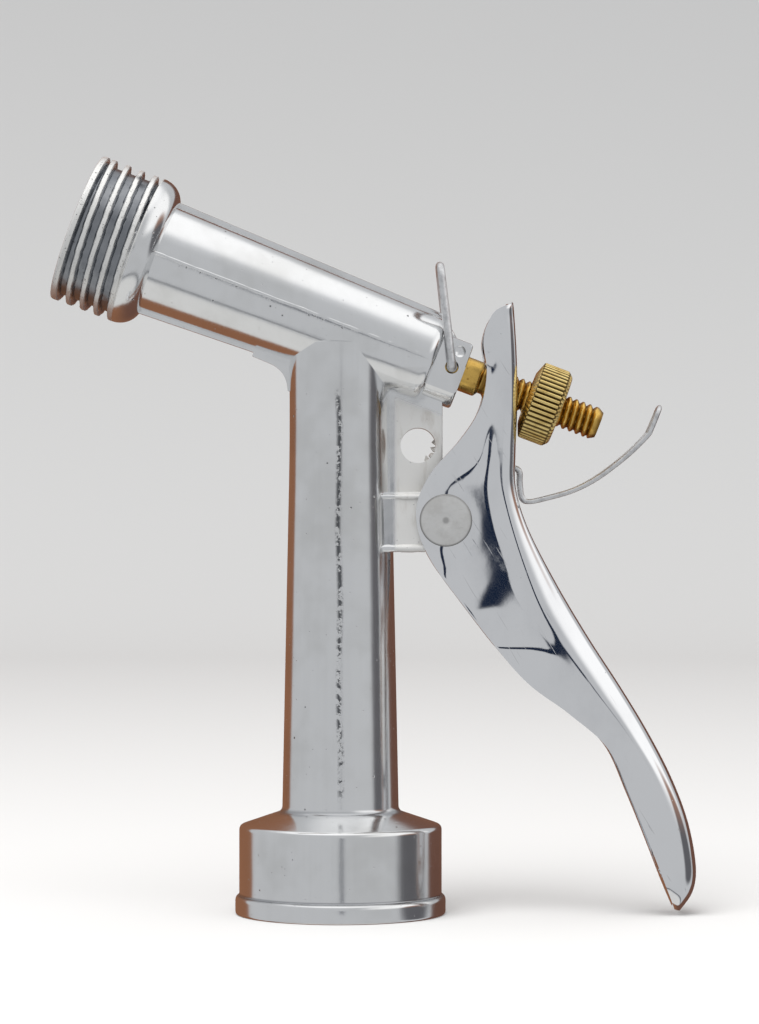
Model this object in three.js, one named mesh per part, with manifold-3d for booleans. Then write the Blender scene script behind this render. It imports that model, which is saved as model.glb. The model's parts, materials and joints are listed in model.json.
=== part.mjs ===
// A pistol-grip hose nozzle as an assembly of separate solids, in millimetres.
// Frame: origin at the middle of the hose inlet's face, +Z up the grip, +X towards the lever, -X towards
// the outlet, Y across. The barrel has a frame of its own: its X axis runs from the outlet to the stem's tail.

import * as THREE from 'three';
import { mergeVertices } from 'three/addons/utils/BufferGeometryUtils.js';
import Module from 'manifold-3d';

const wasm = await Module();
wasm.setup();

// ---- Driving dimensions -------------------------------------------------------------------------

const GAP = 0.3; // clearance between pieces that touch
const WELD = 1e-4; // distance under which two corners are one
const INSIDE = 4; // how far a joined shape reaches into its neighbour
const COARSE = 14; // segments of a full turn on small round pieces
const MEDIUM = 20;
const FINE = 40;

const BARREL_TILT = THREE.MathUtils.degToRad(20.8);
const AXES_CROSSING = 103.7; // height at which the barrel's axis crosses the grip's

const COLLAR_RADIUS = 17.9;
const COLLAR_HEIGHT = 15.6;
const RIM_RADIUS = 18.6;
const RIM_HEIGHT = 3.2;
const SOCKET_DEPTH = 12.6;
const SOCKET_THREAD_ROOT = 13.6;
const SOCKET_THREAD_CREST = 12.7;
const SOCKET_PITCH = 2.2;
const GRIP_FOOT_RADIUS = 10.3;
const GRIP_HEAD_RADIUS = 9;
const GRIP_BORE = 6.2;

const NOSE_FRONT = -49.8;
const NOSE_RADIUS = 13.4;
const NOSE_ROOT = 12.1;
const NOSE_PITCH = 2.5;
const NOSE_BORE = 9.4;
const NOSE_BORE_DEPTH = 6.4;
const BARREL_FRONT = -34.2;
const BARREL_REAR = 17.8;
const BARREL_FRONT_RADIUS = 9.6;
const BARREL_REAR_RADIUS = 7.8;
const BARREL_FILLET = 1.8;
const BARREL_BREADTH = 1.08; // the barrel is a little broader across Y than it is tall
const BARREL_BORE = 6.1;
const BARREL_BORE_END = 10.2;
const FLASH_HEIGHT = 0.85;
const FLASH_THICKNESS = 1;

const BOSS_REAR = 23.2;
const BOSS_RADIUS = 6.2;
const BOSS_DROP = 0.45;
const BOSS_HALF_WIDTH = 5;
const BOSS_TOP = 5.2;
const PACKING_BORE = 5;
const PACKING_BORE_END = 15.4;
const STEM_HOLE = 3.5;

const LUG_HALF_THICKNESS = 2.5;
const LUG_REAR = 18;
const LUG_BOTTOM = 63.4;
const TIE_HOLE = { x: 13.7, z: 82.7, radius: 3.1 };
const PIVOT = { x: 18.5, z: 69.5 };
const ARM_HALF_THICKNESS = 5.2;
const ARM_RADIUS = 5;
const RIVET_RADIUS = 2.5;
const RIVET_HEAD_RADIUS = 4.6;
const RIVET_HEAD = 0.8;

const STEM_RADIUS = 3.15;
const STEM_THREAD = 2.9;
const STEM_THREAD_ROOT = 2.35;
const STEM_PITCH = 1.27;
const STEM_THREAD_START = 27.2;
const STEM_TAIL = 48.9;
const STEM_FRONT = -36;
const STEM_SHOULDER = { start: -12, end: -10.4, radius: 4.6 };
const NUT_START = 35.3;
const NUT_WIDTH = 6.3;
const NUT_RADIUS = 7;
const NUT_FACE_RADIUS = 4.7;
const NUT_CHAMFER = 0.9;
const NUT_RIDGES = 48;

const LEVER_WIDTH = 13.6;
const LEVER_SHEET = 1.2;
const LEVER_CORNER = 3; // radius of the channel's two outer corners
const LEVER_TOP = 38.2;
const LEVER_BOTTOM = -69.2;
const LEVER_TOP_ROUND = 2.4; // radius of its corners seen from behind
const LEVER_BOTTOM_ROUND = 5;
const STEM_SLOT = { low: 18.6, high: 28.4, halfWidth: 3.3 };

const BAIL_PIVOT = { along: 20.9, up: 0.2 };
const BAIL_WIRE = 0.75;
const BAIL_REACH = 18.1;
const BAIL_LEAN = THREE.MathUtils.degToRad(-27.3);
const CLIP_WIRE = 0.4;
const CLIP_HALF_WIDTH = 2.6;
const CLIP_HOLE = { z: 9.2, radius: 1.1 };

// ---- Finishes -----------------------------------------------------------------------------------

const FINISHES = {
  chrome: { color: 0xd8dbde, roughness: 0.14, metalness: 1 },
  zinc: { color: 0xc9c7c1, roughness: 0.45, metalness: 1 },
  brass: { color: 0xb98f35, roughness: 0.3, metalness: 1 },
  wire: { color: 0x9fa1a2, roughness: 0.4, metalness: 1 },
  steel: { color: 0xaeb0b2, roughness: 0.32, metalness: 1 },
  rubber: { color: 0x1d1d1e, roughness: 0.85, metalness: 0 },
};

// ---- Shape helpers ------------------------------------------------------------------------------

/** A closed geometry as a solid that can be joined and cut. */
function solid(geometry) {
  const bare = geometry.clone();
  bare.deleteAttribute('normal');
  bare.deleteAttribute('uv');
  const merged = mergeVertices(bare, WELD);
  const corners = merged.index.array;
  const kept = [];
  for (let i = 0; i < corners.length; i += 3) {
    const [a, b, c] = corners.subarray(i, i + 3);
    if (a !== b && b !== c && c !== a) kept.push(a, b, c);
  }
  const vertProperties = merged.attributes.position.array;
  return new wasm.Manifold(new wasm.Mesh({ numProp: 3, vertProperties, triVerts: new Uint32Array(kept) }));
}

/** All the given geometries joined into one solid. */
function joined(...geometries) {
  return geometries.map(solid).reduce((whole, piece) => whole.add(piece));
}

/** A solid's surface as a geometry that a mesh can show. */
function surface(made) {
  const { vertProperties, triVerts } = made.getMesh();
  const geometry = new THREE.BufferGeometry();
  geometry.setAttribute('position', new THREE.BufferAttribute(vertProperties, 3));
  geometry.setIndex(new THREE.BufferAttribute(triVerts, 1));
  geometry.computeVertexNormals();
  return geometry;
}

/** A named sub-part with its own material. */
function part(name, shape, finish) {
  const geometry = shape instanceof THREE.BufferGeometry ? shape : surface(shape);
  const mesh = new THREE.Mesh(geometry, new THREE.MeshStandardMaterial(FINISHES[finish]));
  mesh.name = name;
  return mesh;
}

/** A round solid about Z; [radius, height] pairs run up the outside. */
function turnedUp(profile, segments = FINE) {
  const points = profile.map(([radius, height]) => new THREE.Vector2(radius, height));
  return new THREE.LatheGeometry(points, segments).rotateX(Math.PI / 2);
}

/** A round solid about X; [radius, along] pairs run along the outside. */
function turnedAlong(profile, segments = FINE) {
  const points = profile.map(([radius, along]) => new THREE.Vector2(radius, along));
  return new THREE.LatheGeometry(points, segments).rotateZ(-Math.PI / 2);
}

/** The profile of a plain cylinder or cone, for the two functions above. */
function rod(startRadius, start, endRadius, end) {
  return [[0, start], [startRadius, start], [endRadius, end], [0, end]];
}

/** The closed profile of a washer or a ring. */
function ring(inner, outer, start, end) {
  return [[inner, start], [outer, start], [outer, end], [inner, end], [inner, start]];
}

/** An outline in the XZ plane made a plate, centred on Y. */
function plate(shape, thickness, curveSegments = 6) {
  const geometry = new THREE.ExtrudeGeometry(shape, { depth: thickness, bevelEnabled: false, curveSegments });
  return geometry.rotateX(Math.PI / 2).translate(0, thickness / 2, 0);
}

/** A round bar across Y, centred on the XZ point. */
function crossBar(radius, length, x, z, segments = MEDIUM) {
  return new THREE.CylinderGeometry(radius, radius, length, segments).translate(x, 0, z);
}

/** A wire of round section along a curve. */
function wire(curve, radius, steps, sides = 8) {
  const section = new THREE.Shape().absarc(0, 0, radius, 0, 2 * Math.PI);
  return new THREE.ExtrudeGeometry(section, {
    steps,
    curveSegments: sides / 2,
    extrudePath: curve,
  });
}

const barrelFrame = new THREE.Matrix4().makeRotationY(BARREL_TILT).setPosition(0, 0, AXES_CROSSING);

/** A geometry drawn in the barrel's frame, moved to the body's. */
function onBarrel(geometry) {
  return geometry.applyMatrix4(barrelFrame);
}

// ---- The body: one casting with the outlet thread, barrel, grip, inlet collar and pivot lug ---------

/** The outlet thread as rings, then the domed shoulder down to the barrel. */
function noseProfile() {
  const crest = 0.5;
  const flank = 0.45;
  const rings = 4;
  const firstCrest = NOSE_FRONT + 2.4;
  const profile = [[0, NOSE_FRONT], [NOSE_RADIUS - 0.5, NOSE_FRONT], [NOSE_RADIUS, NOSE_FRONT + 0.4]];
  profile.push([NOSE_RADIUS, firstCrest - NOSE_PITCH + crest], [NOSE_ROOT, firstCrest - NOSE_PITCH + crest + flank]);
  for (let i = 0; i < rings; i++) {
    const middle = firstCrest + i * NOSE_PITCH;
    profile.push([NOSE_ROOT, middle - crest - flank], [NOSE_RADIUS, middle - crest], [NOSE_RADIUS, middle + crest]);
    if (i < rings - 1) profile.push([NOSE_ROOT, middle + crest + flank]);
  }
  const domeStart = firstCrest + (rings - 1) * NOSE_PITCH + crest;
  const domeSteps = 5;
  for (let i = 1; i <= domeSteps; i++) {
    const angle = (i / domeSteps) * (Math.PI / 2);
    const drop = NOSE_RADIUS - BARREL_FRONT_RADIUS;
    const along = domeStart + (BARREL_FRONT - domeStart) * Math.sin(angle);
    profile.push([BARREL_FRONT_RADIUS + drop * Math.cos(angle), along]);
  }
  profile.push([0, BARREL_FRONT]);
  return profile;
}

/** The barrel tapers to the rear and ends in a rounded corner. */
function barrelProfile() {
  const profile = [[0, BARREL_FRONT - INSIDE], [BARREL_FRONT_RADIUS - 0.02, BARREL_FRONT - INSIDE]];
  profile.push([BARREL_FRONT_RADIUS, BARREL_FRONT]);
  const steps = 3;
  for (let i = 0; i <= steps; i++) {
    const angle = (i / steps) * (Math.PI / 2);
    const inset = BARREL_FILLET * (1 - Math.cos(angle));
    const along = BARREL_REAR - BARREL_FILLET * (1 - Math.sin(angle));
    profile.push([BARREL_REAR_RADIUS - inset, along]);
  }
  profile.push([0, BARREL_REAR]);
  return profile;
}

/** The grip and the inlet collar, in one profile from the inlet face up. */
function gripProfile() {
  const shoulder = 2.3;
  return [
    [0, 0], [RIM_RADIUS - 0.5, 0], [RIM_RADIUS, 0.6], [RIM_RADIUS, RIM_HEIGHT - 0.7],
    [COLLAR_RADIUS, RIM_HEIGHT], [COLLAR_RADIUS, COLLAR_HEIGHT - 0.5], [COLLAR_RADIUS - 0.6, COLLAR_HEIGHT],
    [GRIP_FOOT_RADIUS + 0.5, COLLAR_HEIGHT + shoulder], [GRIP_FOOT_RADIUS, COLLAR_HEIGHT + shoulder + 0.6],
    [GRIP_HEAD_RADIUS, AXES_CROSSING - 22], [GRIP_HEAD_RADIUS, AXES_CROSSING - 3], [0, AXES_CROSSING - 3],
  ];
}

/** The thin flash along the mould's parting plane, round the barrel's outline. */
function partingFlash() {
  const front = BARREL_FRONT - 0.6;
  const frontHeight = BARREL_FRONT_RADIUS + FLASH_HEIGHT;
  const rearHeight = BARREL_REAR_RADIUS + FLASH_HEIGHT;
  const outline = new THREE.Shape();
  outline.moveTo(front, -frontHeight);
  outline.lineTo(BARREL_REAR - 1.2, -rearHeight);
  outline.quadraticCurveTo(BARREL_REAR + 0.8, -rearHeight, BARREL_REAR + 0.8, -rearHeight + 2);
  outline.lineTo(BARREL_REAR + 0.5, rearHeight - 3);
  outline.lineTo(BARREL_REAR - 1.6, rearHeight);
  outline.lineTo(front, frontHeight);
  outline.closePath();
  return onBarrel(plate(outline, FLASH_THICKNESS, 3));
}

/** The flat gusset in the corner between the barrel and the front of the grip. */
function frontGusset() {
  const outline = new THREE.Shape();
  outline.moveTo(-GRIP_HEAD_RADIUS + INSIDE, AXES_CROSSING - 11.4);
  outline.lineTo(-GRIP_HEAD_RADIUS - 0.2, AXES_CROSSING - 11.4);
  outline.quadraticCurveTo(-GRIP_HEAD_RADIUS - 0.5, AXES_CROSSING - 7.7, -15.6, AXES_CROSSING - 5.2);
  outline.lineTo(-14, AXES_CROSSING + 1);
  outline.lineTo(-GRIP_HEAD_RADIUS + INSIDE, AXES_CROSSING - 4);
  outline.closePath();
  return plate(outline, FLASH_THICKNESS, 4);
}

/** The boss behind the barrel, flat on both sides and on top. */
function rearBoss() {
  const start = BARREL_REAR - INSIDE;
  const edge = 0.5;
  const round = turnedAlong([
    [0, start], [BOSS_RADIUS, start], [BOSS_RADIUS, BOSS_REAR - edge], [BOSS_RADIUS - edge, BOSS_REAR], [0, BOSS_REAR],
  ]).translate(0, 0, -BOSS_DROP);
  const bottom = BOSS_RADIUS + BOSS_DROP + 1;
  const block = new THREE.BoxGeometry(BOSS_REAR, 2 * BOSS_HALF_WIDTH, BOSS_TOP + bottom);
  block.translate(BOSS_REAR / 2 + 1, 0, (BOSS_TOP - bottom) / 2);
  return solid(onBarrel(round)).intersect(solid(onBarrel(block)));
}

/** The plate between the grip and the boss, with the pivot arm across its foot. */
function pivotLug() {
  const web = new THREE.Shape();
  web.moveTo(GRIP_HEAD_RADIUS - INSIDE, LUG_BOTTOM + 1.6);
  web.lineTo(LUG_REAR, LUG_BOTTOM + 1.6);
  web.lineTo(LUG_REAR, AXES_CROSSING - 11);
  web.lineTo(GRIP_HEAD_RADIUS - INSIDE, AXES_CROSSING - 5);
  web.closePath();
  const arm = new THREE.Shape();
  arm.moveTo(GRIP_HEAD_RADIUS - INSIDE, PIVOT.z - ARM_RADIUS);
  arm.lineTo(PIVOT.x, PIVOT.z - ARM_RADIUS);
  arm.absarc(PIVOT.x, PIVOT.z, ARM_RADIUS, -Math.PI / 2, Math.PI / 2);
  arm.lineTo(GRIP_HEAD_RADIUS - INSIDE, PIVOT.z + ARM_RADIUS);
  arm.closePath();
  return joined(plate(web, 2 * LUG_HALF_THICKNESS), plate(arm, 2 * ARM_HALF_THICKNESS, 12));
}

/** The inlet socket with its thread rings, and the bore up the grip. */
function inletBore() {
  const washerRoom = 3.7;
  const profile = [[0, -1], [SOCKET_THREAD_ROOT, -1], [SOCKET_THREAD_ROOT, 0.7]];
  const flank = 0.5;
  for (let height = 1.3; height + SOCKET_PITCH < SOCKET_DEPTH - washerRoom + 1; height += SOCKET_PITCH) {
    profile.push([SOCKET_THREAD_CREST, height], [SOCKET_THREAD_CREST, height + flank]);
    profile.push([SOCKET_THREAD_ROOT, height + 2 * flank], [SOCKET_THREAD_ROOT, height + SOCKET_PITCH - flank]);
  }
  profile.push([SOCKET_THREAD_ROOT, SOCKET_DEPTH], [GRIP_BORE, SOCKET_DEPTH], [GRIP_BORE, AXES_CROSSING - 1]);
  profile.push([0, AXES_CROSSING - 1]);
  return turnedUp(profile);
}

/** The bores along the barrel: outlet seat, water way, packing and stem. */
function barrelBore() {
  return onBarrel(turnedAlong([
    [0, NOSE_FRONT - 1], [NOSE_BORE + 0.6, NOSE_FRONT - 1], [NOSE_BORE, NOSE_FRONT + 0.5],
    [NOSE_BORE, NOSE_FRONT + NOSE_BORE_DEPTH], [BARREL_BORE, NOSE_FRONT + NOSE_BORE_DEPTH],
    [BARREL_BORE, BARREL_BORE_END], [PACKING_BORE, BARREL_BORE_END], [PACKING_BORE, PACKING_BORE_END],
    [STEM_HOLE, PACKING_BORE_END], [STEM_HOLE, BOSS_REAR + 1], [0, BOSS_REAR + 1],
  ], MEDIUM));
}

function nozzleBody() {
  const outside = joined(
    turnedUp(gripProfile()),
    onBarrel(turnedAlong(noseProfile())),
    onBarrel(turnedAlong(barrelProfile()).scale(1, BARREL_BREADTH, 1)),
    partingFlash(),
    frontGusset(),
  ).add(rearBoss()).add(pivotLug());
  const bailHole = crossBar(BAIL_WIRE + GAP, 4 * BOSS_HALF_WIDTH, BAIL_PIVOT.along, BAIL_PIVOT.up, COARSE);
  const holes = joined(
    inletBore(),
    barrelBore(),
    onBarrel(bailHole),
    crossBar(TIE_HOLE.radius, 4 * LUG_HALF_THICKNESS, TIE_HOLE.x, TIE_HOLE.z),
    crossBar(RIVET_RADIUS + GAP, 4 * ARM_HALF_THICKNESS, PIVOT.x, PIVOT.z),
  );
  return part('nozzle_body', outside.subtract(holes), 'chrome');
}

// ---- Outlet seat and hose washer ------------------------------------------------------------------

/** The brass insert in the outlet: a flared mouth in front and a conical seat behind. */
function outletSeat() {
  const start = NOSE_FRONT + 0.8;
  const end = NOSE_FRONT + NOSE_BORE_DEPTH - GAP;
  const throat = 3.4;
  return part('outlet_seat', turnedAlong([
    [throat, start + 3.4], [7.4, start], [NOSE_BORE - GAP, start], [NOSE_BORE - GAP, end], [4.6, end],
    [throat, end - 1.1], [throat, start + 3.4],
  ], FINE), 'brass');
}

function hoseWasher() {
  const top = SOCKET_DEPTH - GAP;
  return part('hose_washer', turnedUp(ring(8, SOCKET_THREAD_CREST - GAP, top - 2.9, top)), 'rubber');
}

// ---- The valve: everything that slides along the barrel, drawn in the barrel's frame -----------------

/** The stem, with a spring shoulder in the barrel and a thread at its tail. */
function valveStem() {
  const profile = [
    [0, STEM_FRONT], [2.4, STEM_FRONT], [2.4, STEM_FRONT + 5], [STEM_RADIUS, STEM_FRONT + 5],
    [STEM_RADIUS, STEM_SHOULDER.start], [STEM_SHOULDER.radius, STEM_SHOULDER.start],
    [STEM_SHOULDER.radius, STEM_SHOULDER.end], [STEM_RADIUS, STEM_SHOULDER.end],
    [STEM_RADIUS, STEM_THREAD_START - 0.9], [STEM_THREAD_ROOT, STEM_THREAD_START - 0.7],
    [STEM_THREAD_ROOT, STEM_THREAD_START],
  ];
  for (let along = STEM_THREAD_START; along + STEM_PITCH < STEM_TAIL - 0.5; along += STEM_PITCH) {
    profile.push([STEM_THREAD, along + STEM_PITCH / 2], [STEM_THREAD_ROOT, along + STEM_PITCH]);
  }
  profile.push([STEM_THREAD, STEM_TAIL - 0.9], [2.3, STEM_TAIL], [0, STEM_TAIL]);
  return part('valve_stem', turnedAlong(profile, COARSE), 'brass');
}

/** The tapered tip that stands in the outlet and shapes the spray. */
function stemCone() {
  const base = STEM_FRONT - GAP;
  const cone = solid(turnedAlong([
    [0, base - 9.2], [1.1, base - 8.9], [2.9, base - 4], [3, base - 3.4], [5, base - 1.6], [5, base], [0, base],
  ], MEDIUM));
  return part('stem_cone', cone, 'brass');
}

/** The rubber washer that shuts against the seat, on the stem's front journal. */
function valveWasher() {
  const start = STEM_FRONT + GAP;
  return part('valve_washer', turnedAlong(ring(2.4 + GAP, 5.4, start, start + 2), MEDIUM), 'rubber');
}

function washerCup() {
  const start = STEM_FRONT + 2 * GAP + 2;
  return part('washer_cup', turnedAlong(ring(2.4 + GAP, 5, start, start + 1.5), MEDIUM), 'brass');
}

/** The compression spring between the stem's shoulder and the rear spring seat. */
function returnSpring() {
  const wireRadius = 0.55;
  const coilRadius = 4.6;
  const start = STEM_SHOULDER.end + wireRadius + GAP;
  const end = BARREL_BORE_END - 1.6 - wireRadius - GAP;
  const turns = 7;
  class Coil extends THREE.Curve {
    getPoint(t, target = new THREE.Vector3()) {
      const angle = t * turns * 2 * Math.PI;
      return target.set(start + t * (end - start), coilRadius * Math.cos(angle), coilRadius * Math.sin(angle));
    }
  }
  return part('return_spring', wire(new Coil(), wireRadius, turns * 14, 6), 'steel');
}

function springSeat() {
  const end = BARREL_BORE_END - GAP;
  return part('spring_seat', turnedAlong(ring(STEM_HOLE, BARREL_BORE - GAP, end - 1.2, end), MEDIUM), 'brass');
}

function stemPacking() {
  const end = PACKING_BORE_END - GAP;
  const start = BARREL_BORE_END + 1.1 + GAP;
  return part('stem_packing', turnedAlong(ring(STEM_HOLE, PACKING_BORE - GAP, start, end), MEDIUM), 'rubber');
}

function packingWasher() {
  const start = BARREL_BORE_END;
  return part('packing_washer', turnedAlong(ring(STEM_HOLE, PACKING_BORE - GAP, start, start + 1), MEDIUM), 'brass');
}

/** The knurled nut: a ridged blank with both ends chamfered. */
function adjustingNut() {
  const ridge = 0.32;
  const outline = new THREE.Shape();
  for (let i = 0; i < 2 * NUT_RIDGES; i++) {
    const angle = (i / NUT_RIDGES) * Math.PI;
    const radius = i % 2 ? NUT_RADIUS - ridge : NUT_RADIUS;
    outline[i ? 'lineTo' : 'moveTo'](radius * Math.cos(angle), radius * Math.sin(angle));
  }
  outline.closePath();
  const bore = new THREE.Path().absarc(0, 0, STEM_THREAD + GAP, 0, 2 * Math.PI, true);
  outline.holes.push(bore);
  const blank = new THREE.ExtrudeGeometry(outline, { depth: NUT_WIDTH, bevelEnabled: false, curveSegments: 10 });
  blank.rotateY(Math.PI / 2).translate(NUT_START, 0, 0);
  const end = NUT_START + NUT_WIDTH;
  const chamfers = turnedAlong([
    [0, NUT_START], [NUT_FACE_RADIUS, NUT_START], [NUT_RADIUS + 0.1, NUT_START + NUT_CHAMFER],
    [NUT_RADIUS + 0.1, end - NUT_CHAMFER], [NUT_RADIUS - NUT_CHAMFER, end], [0, end],
  ], NUT_RIDGES);
  return part('adjusting_nut', solid(blank).intersect(solid(chamfers)), 'brass');
}

// ---- The lever: a stamped channel, drawn about its pivot ---------------------------------------------

/** The lever's rounded back, from its top down to the finger end. */
const leverBack = new THREE.SplineCurve([
  [11.95, 38.2], [12.5, 29], [12.6, 20], [12.3, 12], [12.4, 5.5], [14.6, -1.6], [19.6, -11.2], [25.4, -20.9],
  [30.8, -29.2], [35.6, -37.1], [39.8, -45.2], [42.8, -53.2], [44.2, -61], [43.5, -66.4], [41.3, -69],
].map(([x, z]) => new THREE.Vector2(x, z)));

/** The free edges of the two flanges, from the finger end up to the top. */
const leverFront = new THREE.SplineCurve([
  [41.3, -69], [36.6, -59], [32.4, -48.6], [28.4, -40], [21.6, -33.9], [13.2, -27.4], [2.6, -14.3],
  [-3.4, -5.6], [-5.2, 1.6], [-2.8, 8], [2.57, 14.2], [6, 19.6], [7.2, 26], [6.6, 31.6], [8.4, 36.4], [11.95, 38.2],
].map(([x, z]) => new THREE.Vector2(x, z)));

/** The back line moved in by a distance. */
function backInset(distance) {
  const count = 28;
  return Array.from({ length: count + 1 }, (_, i) => {
    const point = leverBack.getPointAt(i / count);
    const tangent = leverBack.getTangentAt(i / count);
    return new THREE.Vector2(point.x + tangent.y * distance, point.y - tangent.x * distance);
  });
}

/** A block that fills the channel's back down to an inset, with its back edges rounded over. */
function backBlock(inset, corner, halfWidth) {
  const reach = 30;
  const outline = backInset(inset);
  const bottom = outline.at(-1);
  const top = outline[0];
  outline.push(new THREE.Vector2(bottom.x - reach, bottom.y), new THREE.Vector2(top.x - reach, top.y));
  const geometry = new THREE.ExtrudeGeometry(new THREE.Shape(outline), {
    depth: 2 * (halfWidth - corner),
    bevelThickness: corner,
    bevelSize: corner,
    bevelOffset: -corner,
    bevelSegments: 2,
  });
  return geometry.rotateX(Math.PI / 2).translate(0, halfWidth - corner, 0);
}

/** The lever's outline from the side, cut through its whole width. */
function leverSide() {
  const outline = new THREE.Shape([...leverBack.getPoints(36), ...leverFront.getPoints(48).slice(1, -1)]);
  return plate(outline, 2 * LEVER_WIDTH);
}

/** An outline in the YZ plane made a plate from one X to another. */
function crossPlate(outline, from, to) {
  const geometry = new THREE.ExtrudeGeometry(outline, { depth: to - from, bevelEnabled: false, curveSegments: 6 });
  return geometry.rotateX(Math.PI / 2).rotateZ(Math.PI / 2).translate(from, 0, 0);
}

/** An upright outline about Y = 0 with its four corners rounded. */
function uprightOutline(halfWidth, top, topRound, bottom, bottomRound) {
  const outline = new THREE.Shape();
  outline.moveTo(halfWidth, bottom + bottomRound);
  outline.lineTo(halfWidth, top - topRound);
  outline.absarc(halfWidth - topRound, top - topRound, topRound, 0, Math.PI / 2);
  outline.absarc(topRound - halfWidth, top - topRound, topRound, Math.PI / 2, Math.PI);
  outline.absarc(bottomRound - halfWidth, bottom + bottomRound, bottomRound, Math.PI, 1.5 * Math.PI);
  outline.absarc(halfWidth - bottomRound, bottom + bottomRound, bottomRound, 1.5 * Math.PI, 2 * Math.PI);
  return outline;
}

/** The lever's outline from behind, cut through its whole depth and drawn in by an inset. */
function leverPlan(inset, top) {
  const outline = uprightOutline(
    LEVER_WIDTH / 2 - inset, top, LEVER_TOP_ROUND, LEVER_BOTTOM + inset, LEVER_BOTTOM_ROUND - inset,
  );
  return crossPlate(outline, -60, 60);
}

/** The slot that the stem passes through. */
function stemSlot() {
  const { low, high, halfWidth } = STEM_SLOT;
  return crossPlate(uprightOutline(halfWidth, high, halfWidth - 0.01, low, halfWidth - 0.01), 9, 16);
}

function lever() {
  const half = LEVER_WIDTH / 2;
  const outside = solid(backBlock(0, LEVER_CORNER, half))
    .intersect(solid(leverSide()))
    .intersect(solid(leverPlan(0, LEVER_TOP)));
  const inside = solid(backBlock(LEVER_SHEET, LEVER_CORNER - LEVER_SHEET, half - LEVER_SHEET))
    .intersect(solid(leverPlan(LEVER_SHEET, LEVER_TOP + INSIDE)));
  const clipHole = turnedAlong(rod(CLIP_HOLE.radius, 8, CLIP_HOLE.radius, 16), COARSE);
  const holes = joined(
    stemSlot(),
    crossBar(RIVET_RADIUS + GAP, 2 * LEVER_WIDTH, 0, 0),
    clipHole.clone().translate(0, CLIP_HALF_WIDTH, CLIP_HOLE.z),
    clipHole.clone().translate(0, -CLIP_HALF_WIDTH, CLIP_HOLE.z),
  );
  return part('lever', outside.subtract(inside).subtract(holes), 'chrome');
}

/** The rivet that the lever turns on: a shank with a flat head at each end. */
function leverRivet() {
  const face = LEVER_WIDTH / 2 + GAP;
  const geometry = turnedUp([
    [0, -face - RIVET_HEAD], [RIVET_HEAD_RADIUS - 0.3, -face - RIVET_HEAD], [RIVET_HEAD_RADIUS, -face - 0.4],
    [RIVET_HEAD_RADIUS, -face], [RIVET_RADIUS, -face], [RIVET_RADIUS, face], [RIVET_HEAD_RADIUS, face],
    [RIVET_HEAD_RADIUS, face + 0.4], [RIVET_HEAD_RADIUS - 0.3, face + RIVET_HEAD], [0, face + RIVET_HEAD],
  ], MEDIUM);
  return part('lever_rivet', geometry.rotateX(Math.PI / 2), 'zinc');
}

// ---- The two wire pieces -----------------------------------------------------------------------------

/** The hold-open bail, drawn standing up from its pivot. */
function holdOpenBail() {
  const half = [[4, 0], [5.1, 0], [5.95, 0.35], [6.2, 1.3], [6, 4], [4.9, 12], [4.3, 16], [2.9, BAIL_REACH - 0.4]];
  const points = half.map(([y, z]) => new THREE.Vector3(0, -y, z));
  points.push(new THREE.Vector3(0, 0, BAIL_REACH));
  points.push(...half.toReversed().map(([y, z]) => new THREE.Vector3(0, y, z)));
  return part('hold_open_bail', wire(new THREE.CatmullRomCurve3(points), BAIL_WIRE, 60), 'wire');
}

/** The thin wire clip on the lever's back, drawn about the lever's pivot. */
function leverWireClip() {
  const leg = [
    [11.3, 9.2], [12.4, 9.2], [13.15, 8.5], [13.2, 6.5], [13.6, 4], [14.8, 3.3], [17.8, 3.9], [22.6, 5.3],
    [27, 7.6], [32, 11.4], [35.8, 15], [37.1, 17.6],
  ];
  const points = leg.map(([x, z]) => new THREE.Vector3(x, -CLIP_HALF_WIDTH, z));
  points.push(new THREE.Vector3(37.6, -CLIP_HALF_WIDTH + 0.8, 19.2), new THREE.Vector3(37.6, CLIP_HALF_WIDTH - 0.8, 19.2));
  points.push(...leg.toReversed().map(([x, z]) => new THREE.Vector3(x, CLIP_HALF_WIDTH, z)));
  return part('lever_wire_clip', wire(new THREE.CatmullRomCurve3(points), CLIP_WIRE, 80, 6), 'wire');
}

// ---- Assembly ------------------------------------------------------------------------------------------

const barrelGroup = new THREE.Group();
barrelGroup.applyMatrix4(barrelFrame);
barrelGroup.add(
  outletSeat(), stemCone(), valveWasher(), washerCup(), valveStem(), returnSpring(), springSeat(),
  packingWasher(), stemPacking(), adjustingNut(),
);

const bail = holdOpenBail();
bail.position.set(BAIL_PIVOT.along, 0, BAIL_PIVOT.up);
bail.rotation.y = BAIL_LEAN;
barrelGroup.add(bail);

const leverGroup = new THREE.Group();
leverGroup.position.set(PIVOT.x, 0, PIVOT.z);
leverGroup.add(lever(), leverRivet(), leverWireClip());

const nozzle = new THREE.Group();
nozzle.add(nozzleBody(), hoseWasher(), barrelGroup, leverGroup);

export default nozzle;
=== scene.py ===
import json
import logging
import math
from dataclasses import dataclass, field
from enum import Enum
from typing import Callable, ClassVar, Sequence, Union

import bmesh
import bpy
from mathutils import Matrix, Vector, noise


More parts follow.
